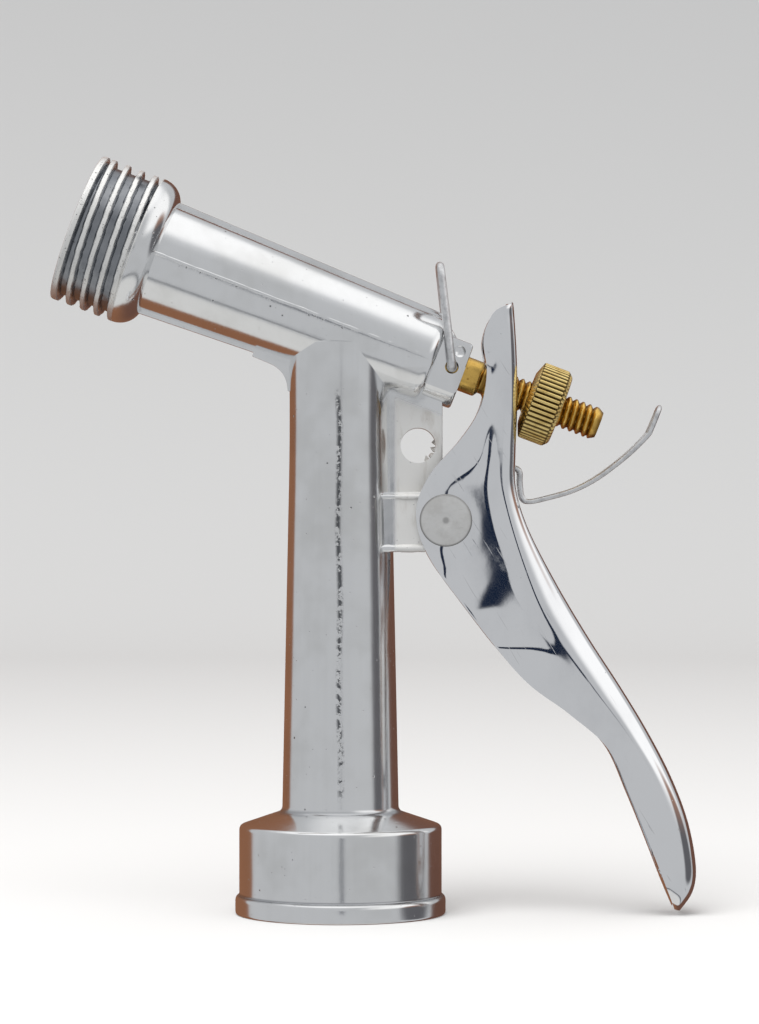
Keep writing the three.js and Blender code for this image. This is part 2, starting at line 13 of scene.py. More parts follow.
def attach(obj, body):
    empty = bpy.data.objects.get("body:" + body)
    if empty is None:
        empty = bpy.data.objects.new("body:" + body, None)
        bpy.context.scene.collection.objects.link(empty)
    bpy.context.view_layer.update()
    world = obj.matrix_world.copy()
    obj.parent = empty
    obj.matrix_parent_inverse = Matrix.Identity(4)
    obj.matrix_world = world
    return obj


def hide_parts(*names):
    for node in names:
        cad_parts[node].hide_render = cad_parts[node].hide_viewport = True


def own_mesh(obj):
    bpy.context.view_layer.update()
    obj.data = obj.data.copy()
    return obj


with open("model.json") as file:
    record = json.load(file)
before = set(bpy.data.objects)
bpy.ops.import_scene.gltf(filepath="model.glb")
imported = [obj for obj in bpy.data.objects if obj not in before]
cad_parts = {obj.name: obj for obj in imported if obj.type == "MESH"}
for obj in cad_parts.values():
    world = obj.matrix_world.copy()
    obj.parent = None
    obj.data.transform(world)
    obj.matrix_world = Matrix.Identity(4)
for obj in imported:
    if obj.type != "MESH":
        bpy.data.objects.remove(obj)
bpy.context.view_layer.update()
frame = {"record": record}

# Shapes are drawn in millimetres and scaled to metres when they become pieces.
MM = 0.001
WELD = 1e-4
FULL_TURN = 2 * math.pi
SMOOTH = 160
ROUND = 72
CREASE = math.radians(33)

log = logging.getLogger("nozzle")

Point = tuple[float, float]
Rounded = tuple[float, ...]
Colour = tuple[float, float, float]


# ---- Places taken from the frame ---------------------------------------------------------------


class Joint(Enum):
    """The joints whose places and axes the pieces are built on."""

    LEVER = "lever_pivot"
    STEM = "stem_slide"
    NUT = "nut_turn"
    BAIL = "bail_swing"

    @property
    def row(self) -> dict:
        """The joint's row in the record."""
        joints = frame["record"]["behaviour"]["joints"]
        return next(joint for joint in joints if joint["name"] == self.value)

    @property
    def place(self) -> Vector:
        """The joint's place, in millimetres."""
        return Vector(self.row["pos_m"]) / MM

    @property
    def axis(self) -> Vector:
        """The joint's axis."""
        return Vector(self.row["axis"]).normalized()


class Body(Enum):
    """The moving bodies of the frame."""

    NOZZLE = "nozzle"
    VALVE = "valve"
    ADJUSTER = "adjuster"
    TRIGGER = "trigger"
    HOLD_OPEN = "hold_open"
    WIRE_CLIP = "wire_clip"


def barrel_matrix() -> Matrix:
    """The barrel's own frame: X along its axis, with its origin where it crosses the grip's axis.

    Returns:
        The matrix from the barrel's frame to the row's, in millimetres.
    """
    axis = Joint.STEM.axis
    on_axis = Joint.NUT.place
    crossing = on_axis - axis * (on_axis.x / axis.x)
    tilt = math.atan2(-axis.z, axis.x)
    return Matrix.Translation(crossing) @ Matrix.Rotation(tilt, 4, "Y")


BARREL = barrel_matrix()
ALONG_BARREL = BARREL @ Matrix.Rotation(math.pi / 2, 4, "Y")
PIVOT = Joint.LEVER.place
AT_PIVOT = Matrix.Translation(PIVOT)


# ---- Shapes ------------------------------------------------------------------------------------


class Join(Enum):
    """Ways to put two shapes together."""

    UNION = "UNION"
    CUT = "DIFFERENCE"
    COMMON = "INTERSECT"


def outward(mesh: bmesh.types.BMesh) -> bmesh.types.BMesh:
    """Welds a closed mesh and turns its faces outwards.

    Args:
        mesh: the mesh to mend.

    Returns:
        The same mesh.
    """
    bmesh.ops.remove_doubles(mesh, verts=mesh.verts, dist=WELD)
    bmesh.ops.recalc_face_normals(mesh, faces=mesh.faces)
    return mesh


def placed(mesh: bmesh.types.BMesh, matrix: Matrix) -> bmesh.types.BMesh:
    """Moves a mesh.

    Args:
        mesh: the mesh to move.
        matrix: where to.

    Returns:
        The same mesh.
    """
    bmesh.ops.transform(mesh, matrix=matrix, verts=mesh.verts)
    return mesh


def rounded(points: Sequence[Rounded], steps: int = 4) -> list[Point]:
    """Rounds the corners of an open outline.

    Args:
        points: corners, each with a third number where it is to be rounded over that length.
        steps: spans in each rounded corner.

    Returns:
        The outline's points.
    """
    outline: list[Point] = []
    for index, point in enumerate(points):
        corner = Vector(point[:2])
        reach = point[2] if len(point) > 2 else 0
        if not reach:
            outline.append(tuple(corner))
            continue
        before = (Vector(points[index - 1][:2]) - corner).normalized() * reach
        after = (Vector(points[(index + 1) % len(points)][:2]) - corner).normalized() * reach
        for step in range(steps + 1):
            share = step / steps
            outline.append(tuple(corner + before * (1 - share) ** 2 + after * share**2))
    return outline


def turned(
    outline: Sequence[Point], segments: int = SMOOTH, closed: bool = False
) -> bmesh.types.BMesh:
    """Spins an outline about Z.

    Args:
        outline: (radius, height) points, from axis to axis unless closed.
        segments: faces round the full turn.
        closed: whether the last point joins the first, as on a washer.

    Returns:
        The closed mesh.
    """
    mesh = bmesh.new()
    verts = [mesh.verts.new((radius, 0, height)) for radius, height in outline]
    ends = verts[1:] + verts[:1] if closed else verts[1:]
    edges = [mesh.edges.new(pair) for pair in zip(verts, ends)]
    bmesh.ops.spin(
        mesh,
        geom=verts + edges,
        cent=(0, 0, 0),
        axis=(0, 0, 1),
        angle=FULL_TURN,
        steps=segments,
        use_merge=True,
    )
    return outward(mesh)


def plate(outline: Sequence[Point], thickness: float, edge: float = 0) -> bmesh.types.BMesh:
    """Extrudes an outline in the XZ plane across Y.

    Args:
        outline: (x, z) corners in order.
        thickness: the plate's thickness, centred on Y = 0.
        edge: how far its edges are rounded.

    Returns:
        The closed mesh.
    """
    mesh = bmesh.new()
    face = mesh.faces.new([mesh.verts.new((x, -thickness / 2, z)) for x, z in outline])
    made = bmesh.ops.extrude_face_region(mesh, geom=[face])
    far = [item for item in made["geom"] if isinstance(item, bmesh.types.BMVert)]
    bmesh.ops.translate(mesh, verts=far, vec=(0, thickness, 0))
    outward(mesh)
    if edge:
        soften(mesh, edge)
    return mesh


def soften(mesh: bmesh.types.BMesh, width: float, segments: int = 2) -> None:
    """Bevels every sharp edge.

    Args:
        mesh: the mesh to bevel.
        width: the bevel's width.
        segments: faces across the bevel.
    """
    sharp = [e for e in mesh.edges if e.is_manifold and e.calc_face_angle(0) > CREASE]
    bmesh.ops.bevel(
        mesh,
        geom=sharp,
        offset=width,
        segments=segments,
        profile=0.5,
        affect="EDGES",
        material=-1,
        clamp_overlap=True,
    )


def cross_bar(radius: float, length: float, x: float, z: float) -> bmesh.types.BMesh:
    """A round bar across Y.

    Args:
        radius: its radius.
        length: its length, centred on Y = 0.
        x: where its axis is.
        z: where its axis is.

    Returns:
        The closed mesh.
    """
    half = length / 2
    bar = turned([(0, -half), (radius, -half), (radius, half), (0, half)], ROUND)
    placed(bar, Matrix.Rotation(math.pi / 2, 4, "X"))
    return placed(bar, Matrix.Translation((x, 0, z)))


def smooth_path(points: Sequence[Vector], spans: int) -> list[Vector]:
    """A smooth line through some points.

    Args:
        points: what it passes through.
        spans: steps from each point to the next.

    Returns:
        The line's points.
    """
    ends = [points[0] * 2 - points[1], *points, points[-1] * 2 - points[-2]]
    line = []
    for before, start, end, after in zip(ends, ends[1:], ends[2:], ends[3:]):
        for step in range(spans):
            t = step / spans
            bend = (before * 2 - start * 5 + end * 4 - after) * t**2
            twist = (start * 3 - before - end * 3 + after) * t**3
            line.append((start * 2 + (end - before) * t + bend + twist) / 2)
    line.append(points[-1].copy())
    return line


def tube(
    path: Sequence[Vector], radius: Callable[[float], float], sides: int = 18
) -> bmesh.types.BMesh:
    """Sweeps a circle along a line, with closed ends.

    Args:
        path: the line's points.
        radius: the wire's radius at a share of the path from 0 to 1.
        sides: faces round the wire.

    Returns:
        The closed mesh.
    """
    mesh = bmesh.new()
    bmesh.ops.create_circle(mesh, cap_ends=True, segments=sides, radius=1)
    cap = mesh.faces[:]
    last = len(path) - 1
    spin = Vector((0, 0, 1)).rotation_difference(path[1] - path[0])
    before: Matrix | None = None
    heading = path[1] - path[0]
    for index, point in enumerate(path):
        ahead = path[min(index + 1, last)] - path[max(index - 1, 0)]
        spin = heading.rotation_difference(ahead) @ spin
        heading = ahead
        here = Matrix.LocRotScale(point, spin, Vector((1, 1, 1)) * radius(index / last))
        if before is None:
            placed(mesh, here)
        else:
            made = bmesh.ops.extrude_face_region(mesh, geom=cap)["geom"]
            verts = [item for item in made if isinstance(item, bmesh.types.BMVert)]
            cap = [item for item in made if isinstance(item, bmesh.types.BMFace)]
            bmesh.ops.transform(mesh, matrix=here @ before.inverted(), verts=verts)
        before = here
    return outward(mesh)


def loose_object(mesh: bmesh.types.BMesh) -> bpy.types.Object:
    """Makes an unnamed object of a mesh, for joining.

    Args:
        mesh: the mesh, which is freed.

    Returns:
        The object, linked to the scene.
    """
    data = bpy.data.meshes.new("joining")
    mesh.to_mesh(data)
    mesh.free()
    made = bpy.data.objects.new("joining", data)
    bpy.context.scene.collection.objects.link(made)
    return made


def joined(
    base: bmesh.types.BMesh, join: Join, *others: bmesh.types.BMesh
) -> bmesh.types.BMesh:
    """Joins or cuts closed meshes.

    Args:
        base: the mesh to start from, which is freed.
        join: what to do with the others.
        others: the other meshes, which are freed.

    Returns:
        The closed result.
    """
    whole = loose_object(base)
    tools = [loose_object(other) for other in others]
    for tool in tools:
        step = whole.modifiers.new(join.name, "BOOLEAN")
        step.operation = join.value
        step.solver = "EXACT"
        step.object = tool
    made = bmesh.new()
    made.from_object(whole, bpy.context.evaluated_depsgraph_get())
    for spent in [whole, *tools]:
        data = spent.data
        bpy.data.objects.remove(spent)
        bpy.data.meshes.remove(data)
    bmesh.ops.dissolve_degenerate(made, edges=made.edges, dist=WELD)
    return made


def publish(
    mesh: bmesh.types.BMesh,
    name: str,
    body: Body,
    finish: "Finish",
    node: str,
) -> bpy.types.Object:
    """Turns a mesh into a finished piece that stands for a CAD node.

    Args:
        mesh: the mesh in millimetres, which is freed.
        name: the piece's name.
        body: the body it rides on.
        finish: what it is dressed in.
        node: the CAD node it stands for.

    Returns:
        The piece.
    """
    placed(mesh, Matrix.Scale(MM, 4))
    for face in mesh.faces:
        face.smooth = True
    for edge in mesh.edges:
        edge.smooth = edge.is_manifold and edge.calc_face_angle(0) < CREASE
    data = bpy.data.meshes.new(name)
    mesh.to_mesh(data)
    mesh.free()
    data.materials.append(finish.material())
    piece = bpy.data.objects.new(name, data)
    bpy.context.scene.collection.objects.link(piece)
    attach(piece, body.value)
    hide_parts(node)
    log.info("%s: %d faces, rides on %s", name, len(data.polygons), body.value)
    return piece


# ---- Shader expressions ------------------------------------------------------------------------


class Value:
    """A shader number that adds Math nodes as it is used in an expression."""

    def __init__(self, graph: "Graph", socket: bpy.types.NodeSocket) -> None:
        """Wraps a socket of a graph."""
        self.graph = graph
        self.socket = socket

    def math(self, operation: str, *inputs: "Term", first: bool = True) -> "Value":
        """Adds a Math node.

        Args:
            operation: the node's operation.
            inputs: the other terms.
            first: whether this value is the first term.

        Returns:
            The node's result.
        """
        terms = [self, *inputs] if first else [*inputs, self]
        settings = {"operation": operation}
        return self.graph.add("ShaderNodeMath", settings, dict(enumerate(terms)))

    def __add__(self, other: "Term") -> "Value":
        """self + other"""
        return self.math("ADD", other)

    __radd__ = __add__

    def __sub__(self, other: "Term") -> "Value":
        """self - other"""
        return self.math("SUBTRACT", other)

    def __rsub__(self, other: "Term") -> "Value":
        """other - self"""
        return self.math("SUBTRACT", other, first=False)

    def __mul__(self, other: "Term") -> "Value":
        """self * other"""
        return self.math("MULTIPLY", other)

    __rmul__ = __mul__

    def __truediv__(self, other: "Term") -> "Value":
        """self / other"""
        return self.math("DIVIDE", other)

    def __abs__(self) -> "Value":
        """The size of self."""
        return self.math("ABSOLUTE")

    def root(self) -> "Value":
        """The square root of self."""
        return self.math("SQRT")

    def larger(self, other: "Term") -> "Value":
        """The larger of self and other."""
        return self.math("MAXIMUM", other)

    def smaller(self, other: "Term") -> "Value":
        """The smaller of self and other."""
        return self.math("MINIMUM", other)

    def step(self, low: float, high: float) -> "Value":
        """Rises smoothly from 0 to 1.

        Args:
            low: where it is 0.
            high: where it is 1, which may be below low.

        Returns:
            The step.
        """
        settings = {"interpolation_type": "SMOOTHSTEP"}
        inputs = {"Value": self, "From Min": low, "From Max": high}
        if low > high:
            inputs = {"Value": self * -1, "From Min": -low, "From Max": -high}
        return self.graph.add("ShaderNodeMapRange", settings, inputs)

    def band(self, low: float, high: float, soft: float) -> "Value":
        """Is 1 between two values.

        Args:
            low: where the band starts.
            high: where it ends.
            soft: the width of its soft edges.

        Returns:
            The band.
        """
        return self.step(low - soft, low) * self.step(high + soft, high)


Term = Union[Value, float]


class Graph:
    """The nodes of one material or world, added by kind."""

    def __init__(self, tree: bpy.types.NodeTree) -> None:
        """Empties a node tree and starts on it."""
        self.tree = tree
        tree.nodes.clear()

    def add(
        self,
        kind: str,
        settings: dict | None = None,
        inputs: dict | None = None,
        output: str | int = 0,
    ) -> Value:
        """Adds one node.

        Args:
            kind: the node's type.
            settings: its own settings, which are set first.
            inputs: values or links for its sockets, by name or number.
            output: which of its outputs is wanted.

        Returns:
            That output.
        """
        node = self.tree.nodes.new(kind)
        for name, setting in (settings or {}).items():
            setattr(node, name, setting)
        for name, value in (inputs or {}).items():
            if isinstance(value, Value):
                self.tree.links.new(value.socket, node.inputs[name])
            else:
                node.inputs[name].default_value = value
        return Value(self, node.outputs[output])

    def vector(
        self, operation: str, *inputs: Value | Sequence[float], output: str = "Vector"
    ) -> Value:
        """Adds a Vector Math node.

        Args:
            operation: the node's operation.
            inputs: its vectors.
            output: which output is wanted.

        Returns:
            That output.
        """
        settings = {"operation": operation}
        return self.add("ShaderNodeVectorMath", settings, dict(enumerate(inputs)), output)

    def along(self, place: Value, direction: Sequence[float]) -> Value:
        """How far a place lies along a direction.

        Args:
            place: the place.
            direction: a unit vector.

        Returns:
            The distance.
        """
        return self.vector("DOT_PRODUCT", place, tuple(direction), output="Value")

    def stretched(self, place: Value, scales: Sequence[float]) -> Value:
        """A place with each axis scaled.

        Args:
            place: the place.
            scales: the scale of each axis.

        Returns:
            The scaled place.
        """
        return self.vector("MULTIPLY", place, tuple(scales))

    def noise(self, place: Value, scale: float, detail: float = 2, rough: float = 0.5) -> Value:
        """Soft noise from 0 to 1.

        Args:
            place: where it is read.
            scale: features in a unit.
            detail: finer layers.
            rough: how strong those are.

        Returns:
            The noise.
        """
        inputs = {"Vector": place, "Scale": scale, "Detail": detail, "Roughness": rough}
        return self.add("ShaderNodeTexNoise", None, inputs, "Fac")

    def dots(self, place: Value, scale: float, size: float, share: float) -> Value:
        """Scattered round dots.

        Args:
            place: where they are read.
            scale: cells in a unit.
            size: a dot's radius, in cells.
            share: the share of cells that have one.

        Returns:
            1 on a dot, 0 elsewhere.
        """
        inputs = {"Vector": place, "Scale": scale}
        distance = self.add("ShaderNodeTexVoronoi", None, inputs, "Distance")
        colour = self.add("ShaderNodeTexVoronoi", None, inputs, "Color")
        chance = self.add("ShaderNodeSeparateColor", None, {"Color": colour}, "Red")
        chosen = chance.step(1 - share, 1 - share + 0.02)
        return distance.step(size, size * 0.4) * chosen

    def mix(self, share: Term, low: Value | Colour, high: Value | Colour) -> Value:
        """Mixes two colours.

        Args:
            share: 0 for the first, 1 for the second.
            low: the first colour.
            high: the second colour.

        Returns:
            The mixed colour.
        """
        node = self.tree.nodes.new("ShaderNodeMix")
        node.data_type = "RGBA"
        for index, value in ((0, share), (6, low), (7, high)):
            if isinstance(value, Value):
                self.tree.links.new(value.socket, node.inputs[index])
            elif index:
                node.inputs[index].default_value = (*value, 1)
            else:
                node.inputs[index].default_value = value
        return Value(self, node.outputs[2])

    def line(self, place: Value, start: Sequence[float], end: Sequence[float]) -> Value:
        """The distance from a straight line between two points.

        Args:
            place: where it is read.
            start: the line's start.
            end: its end.

        Returns:
            The distance.
        """
        start, span = Vector(start), Vector(end) - Vector(start)
        offset = self.vector("SUBTRACT", place, tuple(start))
        share = self.along(offset, span / span.length_squared).larger(0).smaller(1)
        reach = self.vector("SCALE", tuple(span))
        self.tree.links.new(share.socket, reach.socket.node.inputs["Scale"])
        return self.vector("DISTANCE", offset, reach, output="Value")

    def add_output(self, kind: str, shader: Value) -> None:
        """Joins a shader to the output.

        Args:
            kind: the output node's type.
            shader: the shader.
        """
        output = self.tree.nodes.new(kind)
        self.tree.links.new(shader.socket, output.inputs["Surface"])


# ---- Finishes ----------------------------------------------------------------------------------


class Finish:
    """A material that is made once and shared by its pieces."""

    name = "finish"
    shared: ClassVar[dict[str, bpy.types.Material]] = {}

    def material(self) -> bpy.types.Material:
        """Makes the material, or finds the one already made.

        Returns:
            The material.
        """
        if self.name in self.shared:
            return self.shared[self.name]
        made = bpy.data.materials.new(f"{self.name}_finish")
        self.shared[self.name] = made
        made.use_nodes = True
        graph = Graph(made.node_tree)
        spot = graph.add("ShaderNodeTexCoord", None, None, "Object")
        self.dress(graph, graph.stretched(spot, (1 / MM, 1 / MM, 1 / MM)))
        return made

    def dress(self, graph: Graph, place: Value) -> None:
        """Adds the finish's nodes. Each finish has its own."""
        raise NotImplementedError

    @staticmethod
    def surface(
        graph: Graph, colour: Value, rough: Value, height: Value, metallic: Term = 1
    ) -> None:
        """Ends a material in one shader.

        Args:
            graph: the material's nodes.
            colour: its base colour.
            rough: its roughness.
            height: its relief, in millimetres.
            metallic: 1 for metal, 0 for rubber.
        """
        bump = graph.add("ShaderNodeBump", None, {"Height": height, "Distance": MM}, "Normal")
        inputs = {
            "Base Color": colour,
            "Roughness": rough,
            "Metallic": metallic,
            "Normal": bump,
        }
        shader = graph.add("ShaderNodeBsdfPrincipled", None, inputs, "BSDF")
        graph.add_output("ShaderNodeOutputMaterial", shader)


@dataclass(frozen=True)
class ChromedCasting(Finish):
    """Bright plating on a die casting: ripples, pits, seam marks, and painted shade at its thread
    roots and in its corners.
    """

    name: str = "chromed_casting"
    plated: Colour = (0.86, 0.865, 0.87)
    dull: Colour = (0.7, 0.7, 0.69)
    grime: Colour = (0.075, 0.08, 0.09)
    # painted shade: the dark colour laid in the outlet's thread roots and the collar's corners
    groove_shade: Colour = (0.15, 0.165, 0.19)
    bare: Colour = (0.8, 0.79, 0.765)
    stain: Colour = (0.42, 0.36, 0.3)
    crest_radius: float = 13.4
    groove_depth: float = 1.3
    damage: tuple[float, float, float] = (-41.3, -6.3, 11.6)
    nose_end: float = -38.3
    shoulder_height: float = 18.2
    lug_front: float = 9.6

    def dress(self, graph: Graph, place: Value) -> None:
        """Adds the casting's nodes.

        Args:
            graph: the material's nodes.
            place: the place on the surface, in millimetres.
        """
        split = {
            axis: graph.add("ShaderNodeSeparateXYZ", None, {"Vector": place}, axis)
            for axis in "XYZ"
        }
        to_barrel = BARREL.to_3x3()
        offset = graph.vector("SUBTRACT", place, tuple(BARREL.translation))
        along = graph.along(offset, to_barrel.col[0])
        above = graph.along(offset, to_barrel.col[2])
        radius = (above * above + split["Y"] * split["Y"]).root()

        ripple = graph.noise(place, 0.11, 2, 0.45)
        peel = graph.noise(place, 0.9, 3, 0.55)
        drawn = graph.noise(graph.stretched(place, (1.1, 1.1, 0.03)), 1, 2, 0.6)
        pits = graph.dots(place, 0.5, 0.13, 0.12)
        specks = graph.dots(place, 1.7, 0.2, 0.07)
        blotch = graph.noise(place, 0.07, 3, 0.6)

        seam = self.seam_marks(graph, place, split, along, above)
        # painted shade mask for the outlet's thread roots and the collar's corners
        groove_shade_mask = self.painted_groove_shade(graph, place, split, along, radius)
        lug = self.lug_mask(graph, split, radius)
        crest = self.worn_crests(graph, place, along, radius)
        smear = graph.noise(graph.stretched(place, (0.35, 0.35, 0.1)), 1, 4, 0.65).step(0.5, 0.72)
        hurt = graph.vector("DISTANCE", offset, self.damage_place(), output="Value")
        chipped = hurt.step(1.7, 0.5) * graph.noise(place, 1.3, 3, 0.7).step(0.42, 0.52)

        nicks = crest * graph.noise(place, 2.2, 3, 0.75).step(0.62, 0.7)
        dirt = (seam * 0.9).larger(pits * 0.75).larger(specks * 0.5).larger(chipped)
        dirt = dirt.larger(nicks * 0.8)
        clean = graph.mix(blotch.step(0.42, 0.7) * 0.55 + drawn * 0.2, self.plated, self.dull)
        plated = graph.mix((lug * 0.9).larger(crest * 0.8), clean, self.bare)
        stained = graph.mix(lug * smear * 0.4, plated, self.stain)
        # lays the painted shade into the thread roots and the collar's corners
        groove_shaded = graph.mix(groove_shade_mask, stained, self.groove_shade)
        colour = graph.mix(dirt, groove_shaded, self.grime)
        dulled = 0.4 * dirt + 0.2 * groove_shade_mask + 0.2 * crest + 0.3 * lug
        rough = 0.085 + 0.07 * blotch + 0.06 * drawn + dulled
        height = (
            0.05 * ripple
            + 0.0035 * peel
            + 0.006 * drawn
            - 0.06 * nicks
            - 0.05 * pits
            - 0.03 * specks
            - 0.05 * seam
            - 0.2 * chipped
            + 0.012 * lug * peel
        )
        metallic = 1 - 0.5 * lug - 0.35 * crest
        self.surface(graph, colour, rough, height, metallic)

    def damage_place(self) -> tuple[float, float, float]:
        """Where the outlet's last crest is chipped, as an offset from the barrel's origin.

        Returns:
            The offset.
        """
        return tuple(BARREL.to_3x3() @ Vector(self.damage))

    def worn_crests(self, graph: Graph, place: Value, along: Value, radius: Value) -> Value:
        """The rubbed crests of the outlet's thread.

        Args:
            graph: the material's nodes.
            place: the place on the surface.
            along: how far it is along the barrel.
            radius: its distance from the barrel's axis.

        Returns:
            1 on a crest.
        """
        at_nose = along.step(self.nose_end + 0.3, self.nose_end)
        ragged = (graph.noise(place, 1.6, 3, 0.7) - 0.5) * 0.5
        return at_nose * (radius + ragged).step(self.crest_radius - 0.45, self.crest_radius - 0.2)

    @staticmethod
    def seam_marks(
        graph: Graph, place: Value, split: dict[str, Value], along: Value, above: Value
    ) -> Value:
        """Broken pits down the middle of the grip and along the barrel's raised seam.

        Args:
            graph: the material's nodes.
            place: the place on the surface.
            split: its X, Y and Z.
            along: how far it is along the barrel.
            above: how far it is above the barrel's axis.

        Returns:
            1 in a mark, 0 elsewhere.
        """
        broken = graph.noise(place, 0.9, 4, 0.7)
        side = (split["Y"] * -1).step(0, 2)
        wander = (graph.noise(place, 0.05, 1) - 0.5) * 1.6
        grip = abs(split["X"] + 0.15 + wander).step(0.7, 0.1) * split["Z"].band(23, 90, 3)
        thick = broken + 0.06 * split["Z"].step(40, 62)
        grip_marks = grip * side * thick.step(0.47, 0.57)
        edge = abs(above + 0.3 + wander * 0.3).step(0.34, 0.1)
        barrel_marks = edge * along.band(-33, 16, 1) * broken.step(0.56, 0.64)
        return grip_marks.larger(barrel_marks * 0.85)

    def painted_groove_shade(
        self, graph: Graph, place: Value, split: dict[str, Value], along: Value, radius: Value
    ) -> Value:
        """Painted shade at the roots of the outlet's rings and in the corners of the collar.

        Args:
            graph: the material's nodes.
            place: the place on the surface.
            split: its X, Y and Z.
            along: how far it is along the barrel.
            radius: its distance from the barrel's axis.

        Returns:
            1 where the painted shade is darkest.
        """
        at_nose = along.step(self.nose_end + 0.5, self.nose_end - 0.5)
        root = radius.step(self.crest_radius - 0.25, self.crest_radius - self.groove_depth)
        outside = radius.step(10.5, 11)
        from_grip = (split["X"] * split["X"] + split["Y"] * split["Y"]).root()
        foot = abs(split["Z"] - self.shoulder_height).step(0.75, 0.1) * from_grip.step(12.5, 10.6)
        rim = abs(split["Z"] - 3.45).step(0.45, 0.1) * from_grip.step(17, 17.6)
        uneven = 0.6 + 0.4 * graph.noise(place, 0.25, 3, 0.6)
        return (at_nose * root * outside * uneven).larger(foot * 0.5).larger(rim * 0.55)

    def lug_mask(self, graph: Graph, split: dict[str, Value], radius: Value) -> Value:
        """The lug and its arm, which are left from the mould and less bright.

        Args:
            graph: the material's nodes; not used.
            split: the place's X, Y and Z.
            radius: its distance from the barrel's axis.

        Returns:
            1 on the lug.
        """
        behind = split["X"].step(self.lug_front - 0.4, self.lug_front + 0.6)
        below = radius.step(8.2, 9.2)
        return behind * below * split["Z"].band(63, 96, 0.5)


@dataclass(frozen=True)
class ChromedPressing(Finish):
    """Mirror plating on pressed sheet, with handling scratches and faint smudges."""

    name: str = "chromed_pressing"
    plated: Colour = (0.87, 0.875, 0.885)
    dull: Colour = (0.74, 0.745, 0.76)
    mark: Colour = (0.25, 0.24, 0.24)

    def scratches(self, graph: Graph, place: Value) -> Value:
        """A few single scratches and a field of hairlines.

        Args:
            graph: the material's nodes.
            place: the place on the surface.

        Returns:
            1 in a scratch.
        """
        x, z = PIVOT.x, PIVOT.z
        side = -6.9
        long_ones = (
            ((1.7, side, -12.3), (11.4, side, -8.2)),
            ((10.2, side, 4.1), (10.9, side, -2.3)),
            ((14.5, side, -14.6), (17.8, side, -21.4)),
            ((38.2, side, -58.1), (39.4, side, -62.9)),
        )
        found: Value | None = None
        for start, end in long_ones:
            shift = Vector((x, 0, z))
            gap = graph.line(place, Vector(start) + shift, Vector(end) + shift).step(0.11, 0.03)
            found = gap if found is None else found.larger(gap)
        slanted = graph.add(
            "ShaderNodeMapping", None, {"Vector": place, "Rotation": (0, 0.55, 0)}, "Vector"
        )
        hairs = graph.noise(graph.stretched(slanted, (3.4, 1.2, 0.1)), 1, 1, 0.4).step(0.71, 0.76)
        return found.larger(hairs * 0.35)

    def dress(self, graph: Graph, place: Value) -> None:
        """Adds the pressing's nodes.

        Args:
            graph: the material's nodes.
            place: the place on the surface, in millimetres.
        """
        ripple = graph.noise(place, 0.075, 2, 0.5)
        peel = graph.noise(place, 0.7, 2, 0.5)
        cloud = graph.noise(graph.stretched(place, (1, 1, 0.6)), 0.1, 4, 0.6)
        smudge = graph.noise(place, 0.22, 5, 0.65).step(0.55, 0.75)
        specks = graph.dots(place, 0.6, 0.1, 0.1)
        scratches = self.scratches(graph, place)
        dirt = (scratches * 0.6).larger(specks * 0.6)
        clean = graph.mix(cloud.step(0.4, 0.75) * 0.6, self.plated, self.dull)
        colour = graph.mix(dirt, clean, self.mark)
        rough = 0.025 + 0.045 * cloud + 0.08 * smudge + 0.3 * dirt
        height = 0.06 * ripple + 0.0015 * peel - 0.012 * scratches - 0.02 * specks
        self.surface(graph, colour, rough, height)


@dataclass(frozen=True)
class TurnedBrass(Finish):
    """Turned brass with fine tool lines about the barrel's axis, a little tarnish, and tarnish
    with painted shade in the thread's roots.
    """

    name: str = "turned_brass"
    bright: Colour = (0.78, 0.5, 0.13)
    tarnish: Colour = (0.36, 0.19, 0.04)
    # painted shade for the thread's roots and the groove where the thread runs out
    deep: Colour = (0.1, 0.05, 0.012)
    thread_root: float = 2.35
    thread_crest: float = 2.9
    thread_start: float = 27.0

    def dress(self, graph: Graph, place: Value) -> None:
        """Adds the brass's nodes.

        Args:
            graph: the material's nodes.
            place: the place on the surface, in millimetres.
        """
        to_barrel = BARREL.to_3x3()
        offset = graph.vector("SUBTRACT", place, tuple(BARREL.translation))
        along = graph.along(offset, to_barrel.col[0])
        above = graph.along(offset, to_barrel.col[2])
        across = graph.along(offset, (0, 1, 0))
        radius = (above * above + across * across).root()
        lines = graph.add("ShaderNodeCombineXYZ", None, {"X": along * 7, "Y": radius * 7})
        tool = graph.noise(lines, 1, 2, 0.6)
        cloud = graph.noise(place, 0.35, 4, 0.6)
        spots = graph.dots(place, 0.8, 0.25, 0.12)
        threaded = along.step(self.thread_start - 0.4, self.thread_start)
        # the thread's roots and run-out groove take tarnish, and painted shade from the deep
        # colour
        root = radius.step(self.thread_crest - 0.1, self.thread_root + 0.05) * threaded
        aged = (cloud.step(0.42, 0.75) * 0.6).larger(spots * 0.6).larger(root * 0.7)
        warm = graph.mix(aged, self.bright, self.tarnish)
        # painted shade darkens the thread's roots and run-out groove
        colour = graph.mix(root * 0.55, warm, self.deep)
        rough = 0.17 + 0.12 * cloud + 0.12 * aged + 0.06 * tool
        self.surface(graph, colour, rough, 0.009 * tool + 0.006 * cloud - 0.015 * spots)


